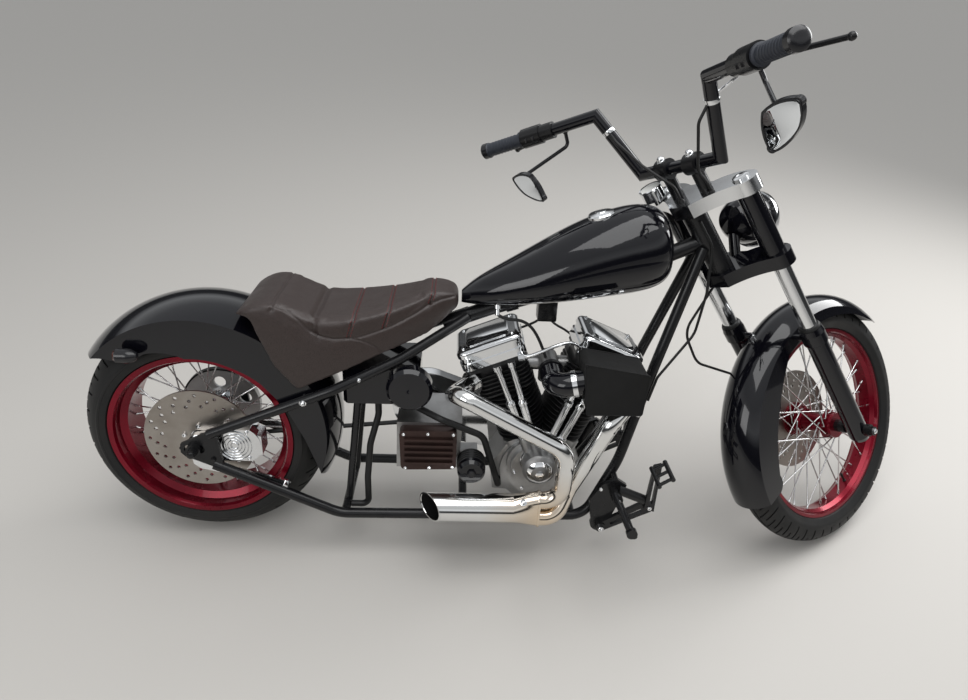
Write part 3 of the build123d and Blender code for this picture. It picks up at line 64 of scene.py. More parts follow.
ACROSS = REAR_AXIS.cross(STEER_AXIS)
FORWARD = ACROSS * cos(RAKE) - STEER_AXIS * sin(RAKE)
UP = ACROSS * sin(RAKE) + STEER_AXIS * cos(RAKE)
UPRIGHT = placing(REAR_AXLE - UP * REAR_RADIUS / 1000, FORWARD, REAR_AXIS, UP)
MACHINE = UPRIGHT @ MILLIMETRE
FORK = placing(STEER_FOOT, (FRONT_AXLE - STEER_FOOT).normalized(), FRONT_AXIS, STEER_AXIS) @ MILLIMETRE
REAR_WHEEL = MACHINE @ Matrix.Translation((0, 0, REAR_RADIUS))
FRONT_WHEEL = FORK @ Matrix.Translation((FORK_OFFSET, 0, 0))

# Where a piece is drawn, and the body that it rides on
ON_FRAME = (MACHINE, "frame")
ON_FORK = (FORK, "steering")
ON_REAR_WHEEL = (REAR_WHEEL, "rear_wheel")
ON_FRONT_WHEEL = (FRONT_WHEEL, "front_wheel")

CRANK = Vector((918, 0, 226))
BANK_ANGLE = 22.5


def bank_turn(sign):
    """Turn from upright to a cylinder's axis: 1 is the front one, -1 the rear."""
    return Matrix.Rotation(radians(sign * BANK_ANGLE), 4, "Y")


def on_bank(sign):
    """Drawn with z up a cylinder's axis from the crankshaft, riding on the frame."""
    return MACHINE @ Matrix.Translation(CRANK) @ bank_turn(sign), "frame"


# Camera, from the rear axle
CAMERA_FROM_AXLE = Vector((0.67464, -1.48969, 1.24459))
CAMERA_YAW = 2.88
CAMERA_PITCH = -33.57
CAMERA_ROLL = 2.66
CAMERA_LENS = 25.34

# Lamps: name, place, point that it faces, width, height, power
LAMPS = (
    ("overhead", (0.3, -0.4, 3.4), (0.0, 0.0, 0.4), 3.2, 2.2, 62),
    ("window", (2.9, 1.3, 2.2), (0.2, 0.0, 0.5), 1.6, 1.8, 60),
    ("fill", (-2.2, -2.6, 2.0), (0.0, 0.0, 0.5), 1.8, 1.4, 24),
)

# The room's light by height, from straight down to straight up: place on the ramp and level
ROOM = ((0.0, 0.14), (0.47, 0.10), (0.53, 0.03), (0.60, 0.07), (0.68, 0.85), (0.80, 0.55), (1.0, 0.70))
ROOM_TINT = (0.96, 0.98, 1.0)
BACKDROP = (0.62, 0.61, 0.60)
FLOOR_COLOUR = (0.52, 0.50, 0.47)
FLOOR_SIZE = 40
FLOOR_HEIGHT = -0.0005


# Camera, light and floor

def make_camera():
    yaw, pitch, roll = (radians(angle) for angle in (CAMERA_YAW, CAMERA_PITCH, CAMERA_ROLL))
    forward = Vector((sin(yaw) * cos(pitch), cos(yaw) * cos(pitch), sin(pitch)))
    right = forward.cross(Vector((0, 0, 1))).normalized()
    up = right.cross(forward)
    rolled_right = right * cos(roll) + up * sin(roll)
    rolled_up = up * cos(roll) - right * sin(roll)
    data = bpy.data.cameras.new("camera")
    data.sensor_fit = "HORIZONTAL"
    data.sensor_width = 36
    data.lens = CAMERA_LENS
    camera = linked("camera", data)
    camera.matrix_world = placing(REAR_AXLE + CAMERA_FROM_AXLE, rolled_right, rolled_up, -forward)
    bpy.context.scene.camera = camera


def make_lamps():
    for name, place, target, width, height, power in LAMPS:
        data = bpy.data.lights.new(name, "AREA")
        data.shape = "RECTANGLE"
        data.size, data.size_y, data.energy = width, height, power
        direction = Vector(target) - Vector(place)
        linked(name, data).matrix_world = (Matrix.Translation(place)
                                           @ direction.to_track_quat("-Z", "Y").to_matrix().to_4x4())


def make_room():
    """Pale to the camera; elsewhere a dark band at eye level under bright windows, for the chrome."""
    world = bpy.data.worlds.new("room")
    world.use_nodes = True
    tree = world.node_tree
    new, link = tree.nodes.new, tree.links.new
    place = new("ShaderNodeTexCoord")
    split = new("ShaderNodeSeparateXYZ")
    height = new("ShaderNodeMapRange")
    height.inputs["From Min"].default_value = -1
    ramp = new("ShaderNodeValToRGB")
    points = ramp.color_ramp.elements
    while len(points) < len(ROOM):
        points.new(0.5)
    for point, (where, level) in zip(points, ROOM):
        point.position = where
        point.color = (*(level * share for share in ROOM_TINT), 1)
    seen = new("ShaderNodeLightPath")
    mix = new("ShaderNodeMix")
    mix.data_type = "RGBA"
    mix.inputs["B"].default_value = (*BACKDROP, 1)
    link(place.outputs["Generated"], split.inputs["Vector"])
    link(split.outputs["Z"], height.inputs["Value"])
    link(height.outputs["Result"], ramp.inputs["Fac"])
    link(ramp.outputs["Color"], mix.inputs["A"])
    link(seen.outputs["Is Camera Ray"], mix.inputs["Factor"])
    link(mix.outputs["Result"], tree.nodes["Background"].inputs["Color"])
    bpy.context.scene.world = world
    bpy.context.scene.view_settings.view_transform = "Standard"


def make_floor():
    bpy.ops.mesh.primitive_plane_add(size=FLOOR_SIZE, location=(0, 0, FLOOR_HEIGHT))
    floor = bpy.context.object
    floor.name = "floor"
    floor.data.transform(floor.matrix_world)
    floor.matrix_world = Matrix.Identity(4)
    floor.data.materials.append(plain("floor", FLOOR_COLOUR, 0.0, 0.6))


# Shader groups

def group(name, inputs, outputs):
    """An empty node group; inputs are (name, value), a value of None is a vector."""
    tree = bpy.data.node_groups.new(name, "ShaderNodeTree")
    for socket, value in inputs:
        kind = "NodeSocketVector" if value is None else "NodeSocketFloat"
        made = tree.interface.new_socket(name=socket, in_out="INPUT", socket_type=kind)
        if value is not None:
            made.default_value = value
    for socket, kind in outputs:
        tree.interface.new_socket(name=socket, in_out="OUTPUT", socket_type=kind)
    return tree, tree.nodes.new("NodeGroupInput"), tree.nodes.new("NodeGroupOutput")


def spread_noise(tree, given, detail, roughness):
    """Noise at the group's place and scale, ready to be spread between limits."""
    noise = tree.nodes.new("ShaderNodeTexNoise")
    noise.inputs["Detail"].default_value = detail
    noise.inputs["Roughness"].default_value = roughness
    spread = tree.nodes.new("ShaderNodeMapRange")
    link = tree.links.new
    link(given.outputs["Place"], noise.inputs["Vector"])
    link(given.outputs["Scale"], noise.inputs["Scale"])
    link(noise.outputs["Fac"], spread.inputs["Value"])
    return spread


def bump_normal(tree, given, result, height):
    """Bump normal from a height, at the group's strength and depth."""
    bump = tree.nodes.new("ShaderNodeBump")
    link = tree.links.new
    link(height, bump.inputs["Height"])
    link(given.outputs["Strength"], bump.inputs["Strength"])
    link(given.outputs["Depth"], bump.inputs["Distance"])
    link(bump.outputs["Normal"], result.inputs["Normal"])


def make_smudges():
    """Roughness that varies softly between two values, as on handled or dusty gloss."""
    tree, given, result = group("smudges", (("Place", None), ("Scale", 6.0), ("Low", 0.1), ("High", 0.2)),
                                (("Roughness", "NodeSocketFloat"),))
    spread = spread_noise(tree, given, 6, 0.65)
    spread.inputs["From Min"].default_value = 0.35
    spread.inputs["From Max"].default_value = 0.68
    link = tree.links.new
    link(given.outputs["Low"], spread.inputs["To Min"])
    link(given.outputs["High"], spread.inputs["To Max"])
    link(spread.outputs["Result"], result.inputs["Roughness"])
    return tree


def make_grain():
    """Fine bumps, as on castings, powder coat and rubber: a bump normal."""
    tree, given, result = group("grain", (("Place", None), ("Scale", 400.0), ("Strength", 0.2),
                                          ("Depth", 0.0004)), (("Normal", "NodeSocketVector"),))
    noise = tree.nodes.new("ShaderNodeTexNoise")
    noise.inputs["Detail"].default_value = 3
    tree.links.new(given.outputs["Place"], noise.inputs["Vector"])
    tree.links.new(given.outputs["Scale"], noise.inputs["Scale"])
    bump_normal(tree, given, result, noise.outputs["Fac"])
    return tree


def make_hide():
    """Leather: rounded cells with fine creases between them, as a bump normal and a mask for painted shade in the
    creases.
    """
    tree, given, result = group("hide", (("Place", None), ("Scale", 260.0), ("Strength", 0.4),
                                         ("Depth", 0.0006)),
                                (("Normal", "NodeSocketVector"), ("Painted Crease Shade", "NodeSocketFloat")))
    new, link = tree.nodes.new, tree.links.new
    cells = new("ShaderNodeTexVoronoi")
    cells.feature = "DISTANCE_TO_EDGE"
    width = new("ShaderNodeMapRange")
    width.inputs["From Max"].default_value = 0.22
    link(given.outputs["Place"], cells.inputs["Vector"])
    link(given.outputs["Scale"], cells.inputs["Scale"])
    link(cells.outputs["Distance"], width.inputs["Value"])
    bump_normal(tree, given, result, width.outputs["Result"])
    link(width.outputs["Result"], result.inputs["Painted Crease Shade"])
    return tree


def make_tone():
    """Soft patches of a second tone, as dust, tarnish or wear: a mask from 0 to 1."""
    tree, given, result = group("tone", (("Place", None), ("Scale", 5.0), ("From", 0.45), ("To", 0.7)),
                                (("Mask", "NodeSocketFloat"),))
    spread = spread_noise(tree, given, 8, 0.6)
    link = tree.links.new
    link(given.outputs["From"], spread.inputs["From Min"])
    link(given.outputs["To"], spread.inputs["From Max"])
    link(spread.outputs["Result"], result.inputs["Mask"])
    return tree


SMUDGES = make_smudges()
GRAIN = make_grain()
HIDE = make_hide()
TONE = make_tone()


# Materials

def plain(name, colour, metallic, roughness, coat=0.0, specular=0.5):
    """A Principled material with fixed values, ready for groups."""
    material = bpy.data.materials.new(name)
    material.use_nodes = True
    shader = material.node_tree.nodes["Principled BSDF"]
    shader.inputs["Base Color"].default_value = (*colour, 1)
    shader.inputs["Metallic"].default_value = metallic
    shader.inputs["Roughness"].default_value = roughness
    shader.inputs["Specular IOR Level"].default_value = specular
    shader.inputs["Coat Weight"].default_value = coat
    shader.inputs["Coat Roughness"].default_value = 0.03
    return material


def add_group(tree, kind, place, values):
    """Places a shader group in a material, fed by object coordinates."""
    node = tree.nodes.new("ShaderNodeGroup")
    node.node_tree = kind
    for socket, value in values.items():
        node.inputs[socket].default_value = value
    tree.links.new(place.outputs["Object"], node.inputs["Place"])
    return node


def finish(name, colour, metallic, low, high, coat=0.0, grain=None, second=None, specular=0.5,
           patches=(5, 0.45, 0.7)):
    """Roughness from low to high; grain is (scale, strength, depth); second is another tone."""
    material = plain(name, colour, metallic, low, coat, specular)
    tree = material.node_tree
    shader = tree.nodes["Principled BSDF"]
    place = tree.nodes.new("ShaderNodeTexCoord")
    smudges = add_group(tree, SMUDGES, place, {"Scale": 6, "Low": low, "High": high})
    tree.links.new(smudges.outputs["Roughness"], shader.inputs["Roughness"])
    if grain:
        bumps = add_group(tree, GRAIN, place, dict(zip(("Scale", "Strength", "Depth"), grain)))
        tree.links.new(bumps.outputs["Normal"], shader.inputs["Normal"])
    if second:
        tone = add_group(tree, TONE, place, dict(zip(("Scale", "From", "To"), patches)))
        blend_tones(tree, tone.outputs["Mask"], colour, second)
    return material


def blend_tones(tree, mask, colour, second):
    mix = tree.nodes.new("ShaderNodeMix")
    mix.data_type = "RGBA"
    mix.inputs["A"].default_value = (*colour, 1)
    mix.inputs["B"].default_value = (*second, 1)
    tree.links.new(mask, mix.inputs["Factor"])
    tree.links.new(mix.outputs["Result"], tree.nodes["Principled BSDF"].inputs["Base Color"])


def leather():
    """Dark brown hide, with shade painted darker into its creases."""
    material = plain("seat_leather", (0.040, 0.027, 0.024), 0.0, 0.4)
    tree = material.node_tree
    shader = tree.nodes["Principled BSDF"]
    place = tree.nodes.new("ShaderNodeTexCoord")
    smudges = add_group(tree, SMUDGES, place, {"Scale": 14, "Low": 0.30, "High": 0.46})
    hide = add_group(tree, HIDE, place, {"Scale": 330, "Strength": 0.35, "Depth": 0.0005})
    tree.links.new(smudges.outputs["Roughness"], shader.inputs["Roughness"])
    tree.links.new(hide.outputs["Normal"], shader.inputs["Normal"])
    # painted shade: the creases between the cells are coloured darker than the hide
    blend_tones(tree, hide.outputs["Painted Crease Shade"], (0.020, 0.013, 0.011), (0.042, 0.028, 0.025))
    return material


def heated_chrome():
    """Chrome that has turned straw-coloured round the joint where the headers meet."""
    material = finish("heated_chrome", (0.78, 0.79, 0.80), 1.0, 0.05, 0.14)
    tree = material.node_tree
    place = tree.nodes.new("ShaderNodeTexCoord")
    reach = tree.nodes.new("ShaderNodeVectorMath")
    reach.operation = "DISTANCE"
    reach.inputs[1].default_value = MACHINE @ Vector((905, -205, 190))
    near = tree.nodes.new("ShaderNodeMapRange")
    near.inputs["From Min"].default_value = 0.16
    near.inputs["From Max"].default_value = 0.03
    near.inputs["To Max"].default_value = 0.75
    tree.links.new(place.outputs["Object"], reach.inputs[0])
    tree.links.new(reach.outputs["Value"], near.inputs["Value"])
    blend_tones(tree, near.outputs["Result"], (0.78, 0.78, 0.77), (0.72, 0.56, 0.38))
    return material


def glass(name, colour, roughness, transmission):
    material = plain(name, colour, 0.0, roughness)
    material.node_tree.nodes["Principled BSDF"].inputs["Transmission Weight"].default_value = transmission
    return material


MATERIALS = {
    "body_paint": finish("gloss_black_paint", (0.003, 0.003, 0.005), 0.0, 0.10, 0.16, coat=0.8,
                         specular=0.1),
    "frame_paint": finish("black_powder_coat", (0.007, 0.007, 0.008), 0.0, 0.22, 0.34, specular=0.35,
                          grain=(900, 0.12, 0.0002), second=(0.012, 0.012, 0.013)),
    "chrome": finish("chrome", (0.80, 0.81, 0.82), 1.0, 0.04, 0.12),
    "polished_aluminium": finish("polished_aluminium", (0.74, 0.75, 0.76), 1.0, 0.12, 0.24,
                                 second=(0.60, 0.60, 0.60)),
    "cast_aluminium": finish("cast_aluminium", (0.42, 0.42, 0.42), 1.0, 0.34, 0.5,
                             grain=(500, 0.3, 0.0006), second=(0.20, 0.19, 0.18)),
    "engine_black": finish("wrinkle_black", (0.010, 0.010, 0.011), 0.0, 0.34, 0.48, specular=0.4,
                           grain=(1100, 0.3, 0.0004), second=(0.022, 0.022, 0.022)),
    "gearbox_brown": finish("gearbox_brown", (0.050, 0.028, 0.024), 0.6, 0.3, 0.45,
                            grain=(700, 0.2, 0.0003), second=(0.025, 0.016, 0.014)),
    "black_parts": finish("black_parts", (0.008, 0.008, 0.009), 0.0, 0.20, 0.34, specular=0.35,
                          grain=(900, 0.12, 0.0002), second=(0.013, 0.013, 0.013)),
    "red_anodised": finish("red_anodised", (0.20, 0.002, 0.014), 0.6, 0.20, 0.32, coat=0.2, specular=0.3,
                           second=(0.13, 0.001, 0.009)),
    "stainless": finish("stainless", (0.72, 0.72, 0.72), 1.0, 0.12, 0.22),
    "disc_steel": finish("disc_steel", (0.38, 0.35, 0.32), 1.0, 0.28, 0.42, second=(0.27, 0.24, 0.21)),
    "tyre": finish("tyre_rubber", (0.010, 0.010, 0.010), 0.0, 0.5, 0.7, grain=(600, 0.25, 0.0005),
                   specular=0.3, second=(0.019, 0.018, 0.017)),
    "rubber": finish("rubber", (0.009, 0.009, 0.009), 0.0, 0.38, 0.55, grain=(800, 0.2, 0.0003),
                     specular=0.35),
    "seat_leather": leather(),
    "filter_fabric": finish("filter_fabric", (0.007, 0.007, 0.007), 0.0, 0.6, 0.8, specular=0.25,
                            grain=(1500, 0.4, 0.0006), second=(0.012, 0.012, 0.012)),
    "black_plastic": finish("black_plastic", (0.010, 0.010, 0.012), 0.0, 0.12, 0.26),
}

# Finishes of small pieces that the record has no slot for: material and the slot nearest to it
EXTRA = {
    "thread": (finish("red_thread", (0.16, 0.012, 0.014), 0.0, 0.6, 0.8, grain=(3000, 0.4, 0.0002)),
               "seat_leather"),
    "grip_rubber": (finish("grip_rubber", (0.020, 0.024, 0.034), 0.0, 0.45, 0.6,
                           grain=(900, 0.25, 0.0004)), "rubber"),
    "heated_chrome": (heated_chrome(), "chrome"),
    "mirror_glass": (plain("mirror_glass", (0.82, 0.85, 0.88), 1.0, 0.015), "black_plastic"),
    "lens_glass": (glass("lens_glass", (0.86, 0.88, 0.90), 0.08, 0.6), "chrome"),
    "smoked_lens": (glass("smoked_lens", (0.10, 0.02, 0.01), 0.15, 0.3), "black_plastic"),
    "dial": (plain("dial", (0.85, 0.85, 0.82), 0.0, 0.35), "chrome"),
    "soot": (finish("soot", (0.005, 0.005, 0.005), 0.0, 0.8, 0.9, specular=0.1), "black_parts"),
}


def finish_of(name):
    """Material and record slot of a finish."""
    return EXTRA[name] if name in EXTRA else (MATERIALS[name], name)


# CAD nodes whose finish differs from their slot's
NODE_FINISH = {
    "exhaust_headers": "heated_chrome", "exhaust_collector": "heated_chrome",
    "rear_caliper": "polished_aluminium", "grips": "grip_rubber", "cam_cover": "cast_aluminium",
    "front_axle": "black_parts", "rear_pulley": "cast_aluminium",
}


def dress_nodes():
    """Gives every CAD node its finish: the slot in the record, or one from the table above."""
    for row in frame["record"]["subparts"]:
        node = frame["nodes"][row["node"]]
        name = NODE_FINISH.get(row["node"], row["material_slot"])
        node.data.materials.clear()
        node.data.materials.append(finish_of(name)[0])


# Modelling tools

def select(piece):
    """Makes a piece the only one selected, and the active one."""
    bpy.ops.object.select_all(action="DESELECT")
    piece.select_set(True)
    bpy.context.view_layer.objects.active = piece


def linked(name, data):
    """A new object in the scene."""
    piece = bpy.data.objects.new(name, data)
    bpy.context.scene.collection.objects.link(piece)
    return piece


def settle(piece, name, on, finish_name, angle=35):
    """Finishes a piece: smooth by angle, its place baked into its mesh, dressed, and riding its body."""
    place, body = on
    select(piece)
    bpy.ops.object.shade_smooth_by_angle(angle=radians(angle))
    piece.data.transform(place)
    piece.matrix_world = Matrix.Identity(4)
    piece.name = name
    material, slot = finish_of(finish_name)
    piece.data.materials.clear()
    piece.data.materials.append(material)
    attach(piece, body)


def edit_faces(piece, accept, *steps):
    """Selects the faces whose centre and normal are accepted, and runs edit-mode steps on them."""
    bpy.ops.object.mode_set(mode="EDIT")
    bpy.ops.mesh.select_mode(type="FACE")
    bpy.ops.mesh.select_all(action="DESELECT")
    bpy.ops.object.mode_set(mode="OBJECT")
    for face in piece.data.polygons:
        face.select = accept(face.center, face.normal)
    bpy.ops.object.mode_set(mode="EDIT")
    for step in steps:
        step()
    bpy.ops.object.mode_set(mode="OBJECT")


def edit_all():
    """Edit mode with everything selected."""
    bpy.ops.object.mode_set(mode="EDIT")
    bpy.ops.mesh.select_all(action="SELECT")


def spun(section, steps, axis):
    """Closed section of (radius, height) pairs spun about an axis: z, or y for a wheel's pieces."""
    bpy.ops.object.select_all(action="DESELECT")
    bpy.ops.mesh.primitive_circle_add(vertices=len(section), radius=1)
    piece = bpy.context.object
    for vertex, (radius, height) in zip(piece.data.vertices, section):
        vertex.co = (radius, 0, height) if axis == "z" else (radius, height, 0)
    edit_all()
    bpy.ops.mesh.spin(steps=steps, angle=2 * pi, center=(0, 0, 0),
                      axis=(0, 0, 1) if axis == "z" else (0, 1, 0))
    bpy.ops.mesh.select_all(action="SELECT")
    bpy.ops.mesh.remove_doubles(threshold=0.01)
    bpy.ops.mesh.dissolve_degenerate(threshold=0.001)
    bpy.ops.mesh.delete_loose(use_verts=True, use_edges=True, use_faces=False)
    bpy.ops.mesh.select_all(action="SELECT")
    bpy.ops.mesh.normals_make_consistent(inside=False)
    bpy.ops.object.mode_set(mode="OBJECT")
    return piece


def joined(pieces):
    """One object from several."""
    bpy.ops.object.select_all(action="DESELECT")
    for piece in pieces:
        piece.select_set(True)
    bpy.context.view_layer.objects.active = pieces[0]
    if len(pieces) > 1:
        bpy.ops.object.join()
    return pieces[0]


def facing(point, direction, size=1.0):
    """Matrix that puts a piece drawn along z at a point, along a direction, at a size."""
    turn = Vector(direction).to_track_quat("Z", "Y").to_matrix().to_4x4()
    return Matrix.Translation(point) @ turn @ Matrix.Scale(size, 4)


def copies(pattern, rows):
    """Copies of a pattern, each with its own mesh, joined; rows are (point, direction, size)."""
    made = []
    for point, direction, size in rows:
        copy = linked("copy", pattern.data.copy())
        copy.data.transform(facing(point, direction, size))
        made.append(copy)
    return joined(made)


def discard(piece):
    bpy.data.objects.remove(piece)


def turned(section, point, direction, name, on, finish_name, steps=48):
    """A round piece from its section, put at a point along a direction."""
    piece = spun(section, steps, "z")
    piece.data.transform(facing(point, direction))
    settle(piece, name, on, finish_name)


def pipe(points, radius, name, on, finish_name):
    """A round line along a smooth curve: wires, small pipes and piping."""
    curve = bpy.data.curves.new(name, "CURVE")
    curve.dimensions = "3D"
    line = curve.splines.new("NURBS")
    line.points.add(len(points) - 1)
    for point, place_at in zip(line.points, points):
        point.co = (*place_at, 1)
    line.order_u = 3
    line.use_endpoint_u = True
    curve.resolution_u = 10
    curve.bevel_depth = radius
    curve.bevel_resolution = 4
    curve.use_fill_caps = True
    select(linked(name, curve))
    bpy.ops.object.convert(target="MESH")
    settle(bpy.context.object, name, on, finish_name)


def plate(points, thickness, place_in, name, on, finish_name, bevel=0.6):
    """Flat plate from an outline in its own xy plane, given thickness and a small bevel."""
    bpy.ops.object.select_all(action="DESELECT")
    bpy.ops.mesh.primitive_circle_add(vertices=len(points), radius=1, fill_type="NGON")
    piece = bpy.context.object
    for vertex, (x, y) in zip(piece.data.vertices, points):
        vertex.co = (x, y, 0)
    edit_all()
    bpy.ops.mesh.extrude_region_move(TRANSFORM_OT_translate={"value": (0, 0, thickness)})
    bpy.ops.mesh.select_all(action="SELECT")
    bpy.ops.mesh.normals_make_consistent(inside=False)
    bpy.ops.object.mode_set(mode="OBJECT")
    rounding = piece.modifiers.new("rounding", "BEVEL")
    rounding.width = bevel
    rounding.segments = 2
    rounding.limit_method = "ANGLE"
    bpy.ops.object.modifier_apply(modifier="rounding")
    piece.data.transform(place_in)
    settle(piece, name, on, finish_name)


# Fasteners, drawn one unit in radius

def socket_bolt():
    """Round head with a chamfer and a socket."""
    bpy.ops.object.select_all(action="DESELECT")
    bpy.ops.mesh.primitive_cylinder_add(vertices=18, radius=1, depth=1, location=(0, 0, 0.5))
    bolt = bpy.context.object
    bolt.data.transform(bolt.matrix_world)
    bolt.matrix_world = Matrix.Identity(4)
    edit_faces(bolt, lambda centre, normal: normal.z > 0.9,
               lambda: bpy.ops.mesh.inset(thickness=0.14, depth=0.14),
               lambda: bpy.ops.mesh.inset(thickness=0.3, depth=0),
               lambda: bpy.ops.mesh.inset(thickness=0.02, depth=-0.6))
    return bolt


def hex_bolt():
    """Hexagon head on a washer."""
    bpy.ops.object.select_all(action="DESELECT")
    bpy.ops.mesh.primitive_cylinder_add(vertices=24, radius=1.25, depth=0.24, location=(0, 0, 0.12))
    washer = bpy.context.object
    bpy.ops.mesh.primitive_cylinder_add(vertices=6, radius=1, depth=0.8, location=(0, 0, 0.6))
    head = bpy.context.object
    for piece in (washer, head):
        piece.data.transform(piece.matrix_world)
        piece.matrix_world = Matrix.Identity(4)
    select(head)
    edit_faces(head, lambda centre, normal: normal.z > 0.9,
               lambda: bpy.ops.mesh.inset(thickness=0.16, depth=0.08))
    return joined([washer, head])


def dome_nut():
    """Domed nut on a flange."""
    return spun([(0, 0), (1.3, 0), (1.3, 0.2), (1, 0.3), (1, 0.7), (0.85, 1.1), (0.5, 1.4), (0, 1.5)],
                20, "z")


def bolt_tables():
    """Each row: name, where it is drawn, pattern, finish, places as (point, direction, radius)."""
    both = (-1, 1)
    heads = [((x, y - 18, 430.6), (0, 0, 1), 4.5) for x in (-66, 66) for y in (-57, 57)]
    cam = [((918 + x, -98, 226 + z), (0, -1, 0), 4.5)
           for x, z in ((-74, 14), (70, 8), (60, 62), (36, 84), (52, -40), (2, -56), (-50, -38))]
    gearbox = [((x, -128, z), (0, -1, 0), 4.5)
               for x, z in ((546, 270), (610, 272), (672, 275), (673, 377), (606, 378), (542, 376))]
    clutch = [((594 + 82 * cos(radians(a)), 172, 322 + 82 * sin(radians(a))), (0, 1, 0), 4.5)
              for a in (75, 125, 175, 225, 275)]
    drive = [((918 + 54 * cos(radians(a)), 172, 226 + 54 * sin(radians(a))), (0, 1, 0), 4.5)
             for a in (-115, -60, 0, 60)]
    drive += [((x, 172, z), (0, 1, 0), 4.5) for x, z in ((776, 342), (736, 204))]
    disc = [(42 * cos(radians(a)), 42 * sin(radians(a))) for a in (18, 90, 162, 234, 306)]
    return (
        ("rear_rocker_bolts", on_bank(-1), "socket", "chrome", heads),
        ("front_rocker_bolts", on_bank(1), "socket", "chrome", heads),
        ("cam_cover_bolts", ON_FRAME, "socket", "chrome", cam),
        ("gearbox_bolts", ON_FRAME, "socket", "chrome", gearbox),
        ("primary_bolts", ON_FRAME, "socket", "chrome", clutch + drive),
        ("derby_bolts", ON_FRAME, "socket", "chrome",
         [((594 + 46 * cos(radians(a)), 178.5, 322 + 46 * sin(radians(a))), (0, 1, 0), 4)
          for a in (90, 210, 330)]),
        ("fender_bolts", ON_FRAME, "dome", "chrome",
         [((290, side * 143, 470), (0, side, 0), 7) for side in both]
         + [((430, side * 123.5, 529), (0, side, 0.3), 4) for side in both]),
        ("axle_plate_bolts", ON_FRAME, "hex", "black_parts",
         [((46, side * 140, 292), (0, side, 0), 6) for side in both]
         + [((-34.5, side * 135, 322), (-1, 0, 0), 4) for side in both]),
        ("rear_disc_bolts", ON_REAR_WHEEL, "socket", "stainless",
         [((x, -90.5, z), (0, -1, 0), 6) for x, z in disc]),
        ("pulley_bolts", ON_REAR_WHEEL, "hex", "stainless",
         [((x * 0.8, 111, z * 0.8), (0, 1, 0), 5) for x, z in disc]),
        ("front_disc_bolts", ON_FRONT_WHEEL, "socket", "stainless",
         [((x, 74.5, z), (0, 1, 0), 6) for x, z in disc]),
        ("rear_caliper_bolts", ON_FRAME, "socket", "stainless",
         [((132, -118.8, 322 + side * 40), (0, -1, 0), 5) for side in both]),
        ("front_caliper_bolts", ON_FORK, "socket", "stainless",
         [((-4, 102, 150), (0, 1, 0), 5), ((-4, 102, 100), (0, 1, 0), 5)]),
        ("top_clamp_bolts", ON_FORK, "socket", "chrome",
         [((91, side * 128, 803), (1, 0, 0), 5) for side in both]),
        ("bottom_clamp_bolts", ON_FORK, "socket", "black_parts",
         [((91, side * 128, 592 + step), (1, 0, 0), 5) for side in both for step in (-9, 9)]),
        ("riser_bolts", ON_FORK, "dome", "chrome",
         [((26, side * 45, 920.5), (0, 0, 1), 9) for side in both]),
        ("control_bolts", ON_FRAME, "socket", "stainless",
         [((1085, side * 178, 116), (0, side, 0), 8) for side in both]
         + [((1208, side * 184, 192), (0, side, 0), 6) for side in both]
         + [((1114, side * 204, 229), (0, side, 0), 7) for side in both]
         + [((1075, side * 162, 236), (0, side, 0), 5) for side in both]),
        ("filter_clamp_bolt", ON_FRAME, "hex", "stainless", [((960, -207, 600), (0, -0.4, 1), 3.5)]),
    )


def make_bolts():
    patterns = {"socket": socket_bolt(), "hex": hex_bolt(), "dome": dome_nut()}
    for name, on, pattern, finish_name, rows in bolt_tables():
        settle(copies(patterns[pattern], rows), name, on, finish_name)
    for pattern in patterns.values():
        discard(pattern)


# Tyres

def arc_points(centre_r, radius, angles):
    """Points of a tyre section on an arc: angles from the middle of the tread, in degrees."""
    return [(centre_r + radius * cos(radians(a)), radius * sin(radians(a))) for a in angles]


# Steps of the spin in a pitch of the tread; each tread arc's centre and radius, then its section
STEPS_A_PITCH = 8
REAR_CROWN = (217, 105)
FRONT_CROWN = (304, 46)
REAR_TREAD = (1.6, 5, 10, 15.5, 21, 27, 33, 39, 45, 50, 54)
REAR_WALL = ((272, 88), (268, 90.4), (267, 91.6), (262, 92), (261, 91), (254, 90.6), (246, 88),
             (242.3, 79.6), (229.4, 79.6), (229.4, 58), (242, 68))
FRONT_TREAD = (2.5, 7.5, 15, 23, 31, 40, 50, 60, 72, 84)
FRONT_WALL_ANGLES = (92, 95, 102, 104, 114, 124)


def rear_section():
    tread = arc_points(*REAR_CROWN, REAR_TREAD)
    inner = arc_points(217, 89, (54, 36, 18, 6))
    half = tread + list(REAR_WALL) + inner
    return half + [(r, -y) for r, y in reversed(half)]


def front_section():
    tread = arc_points(*FRONT_CROWN, FRONT_TREAD)
    wall = [(r, y + (0.7 if 93 < a < 103 else 0)) for (r, y), a in
            zip(arc_points(*FRONT_CROWN, FRONT_WALL_ANGLES), FRONT_WALL_ANGLES)]
    bead = [(275.4, 29.6), (267.4, 29.6), (267.4, 18)]
    inner = arc_points(304, 36, (123, 95, 65, 35, 12))
    half = tread + wall + bead + inner
    return half + [(r, -y) for r, y in reversed(half)]


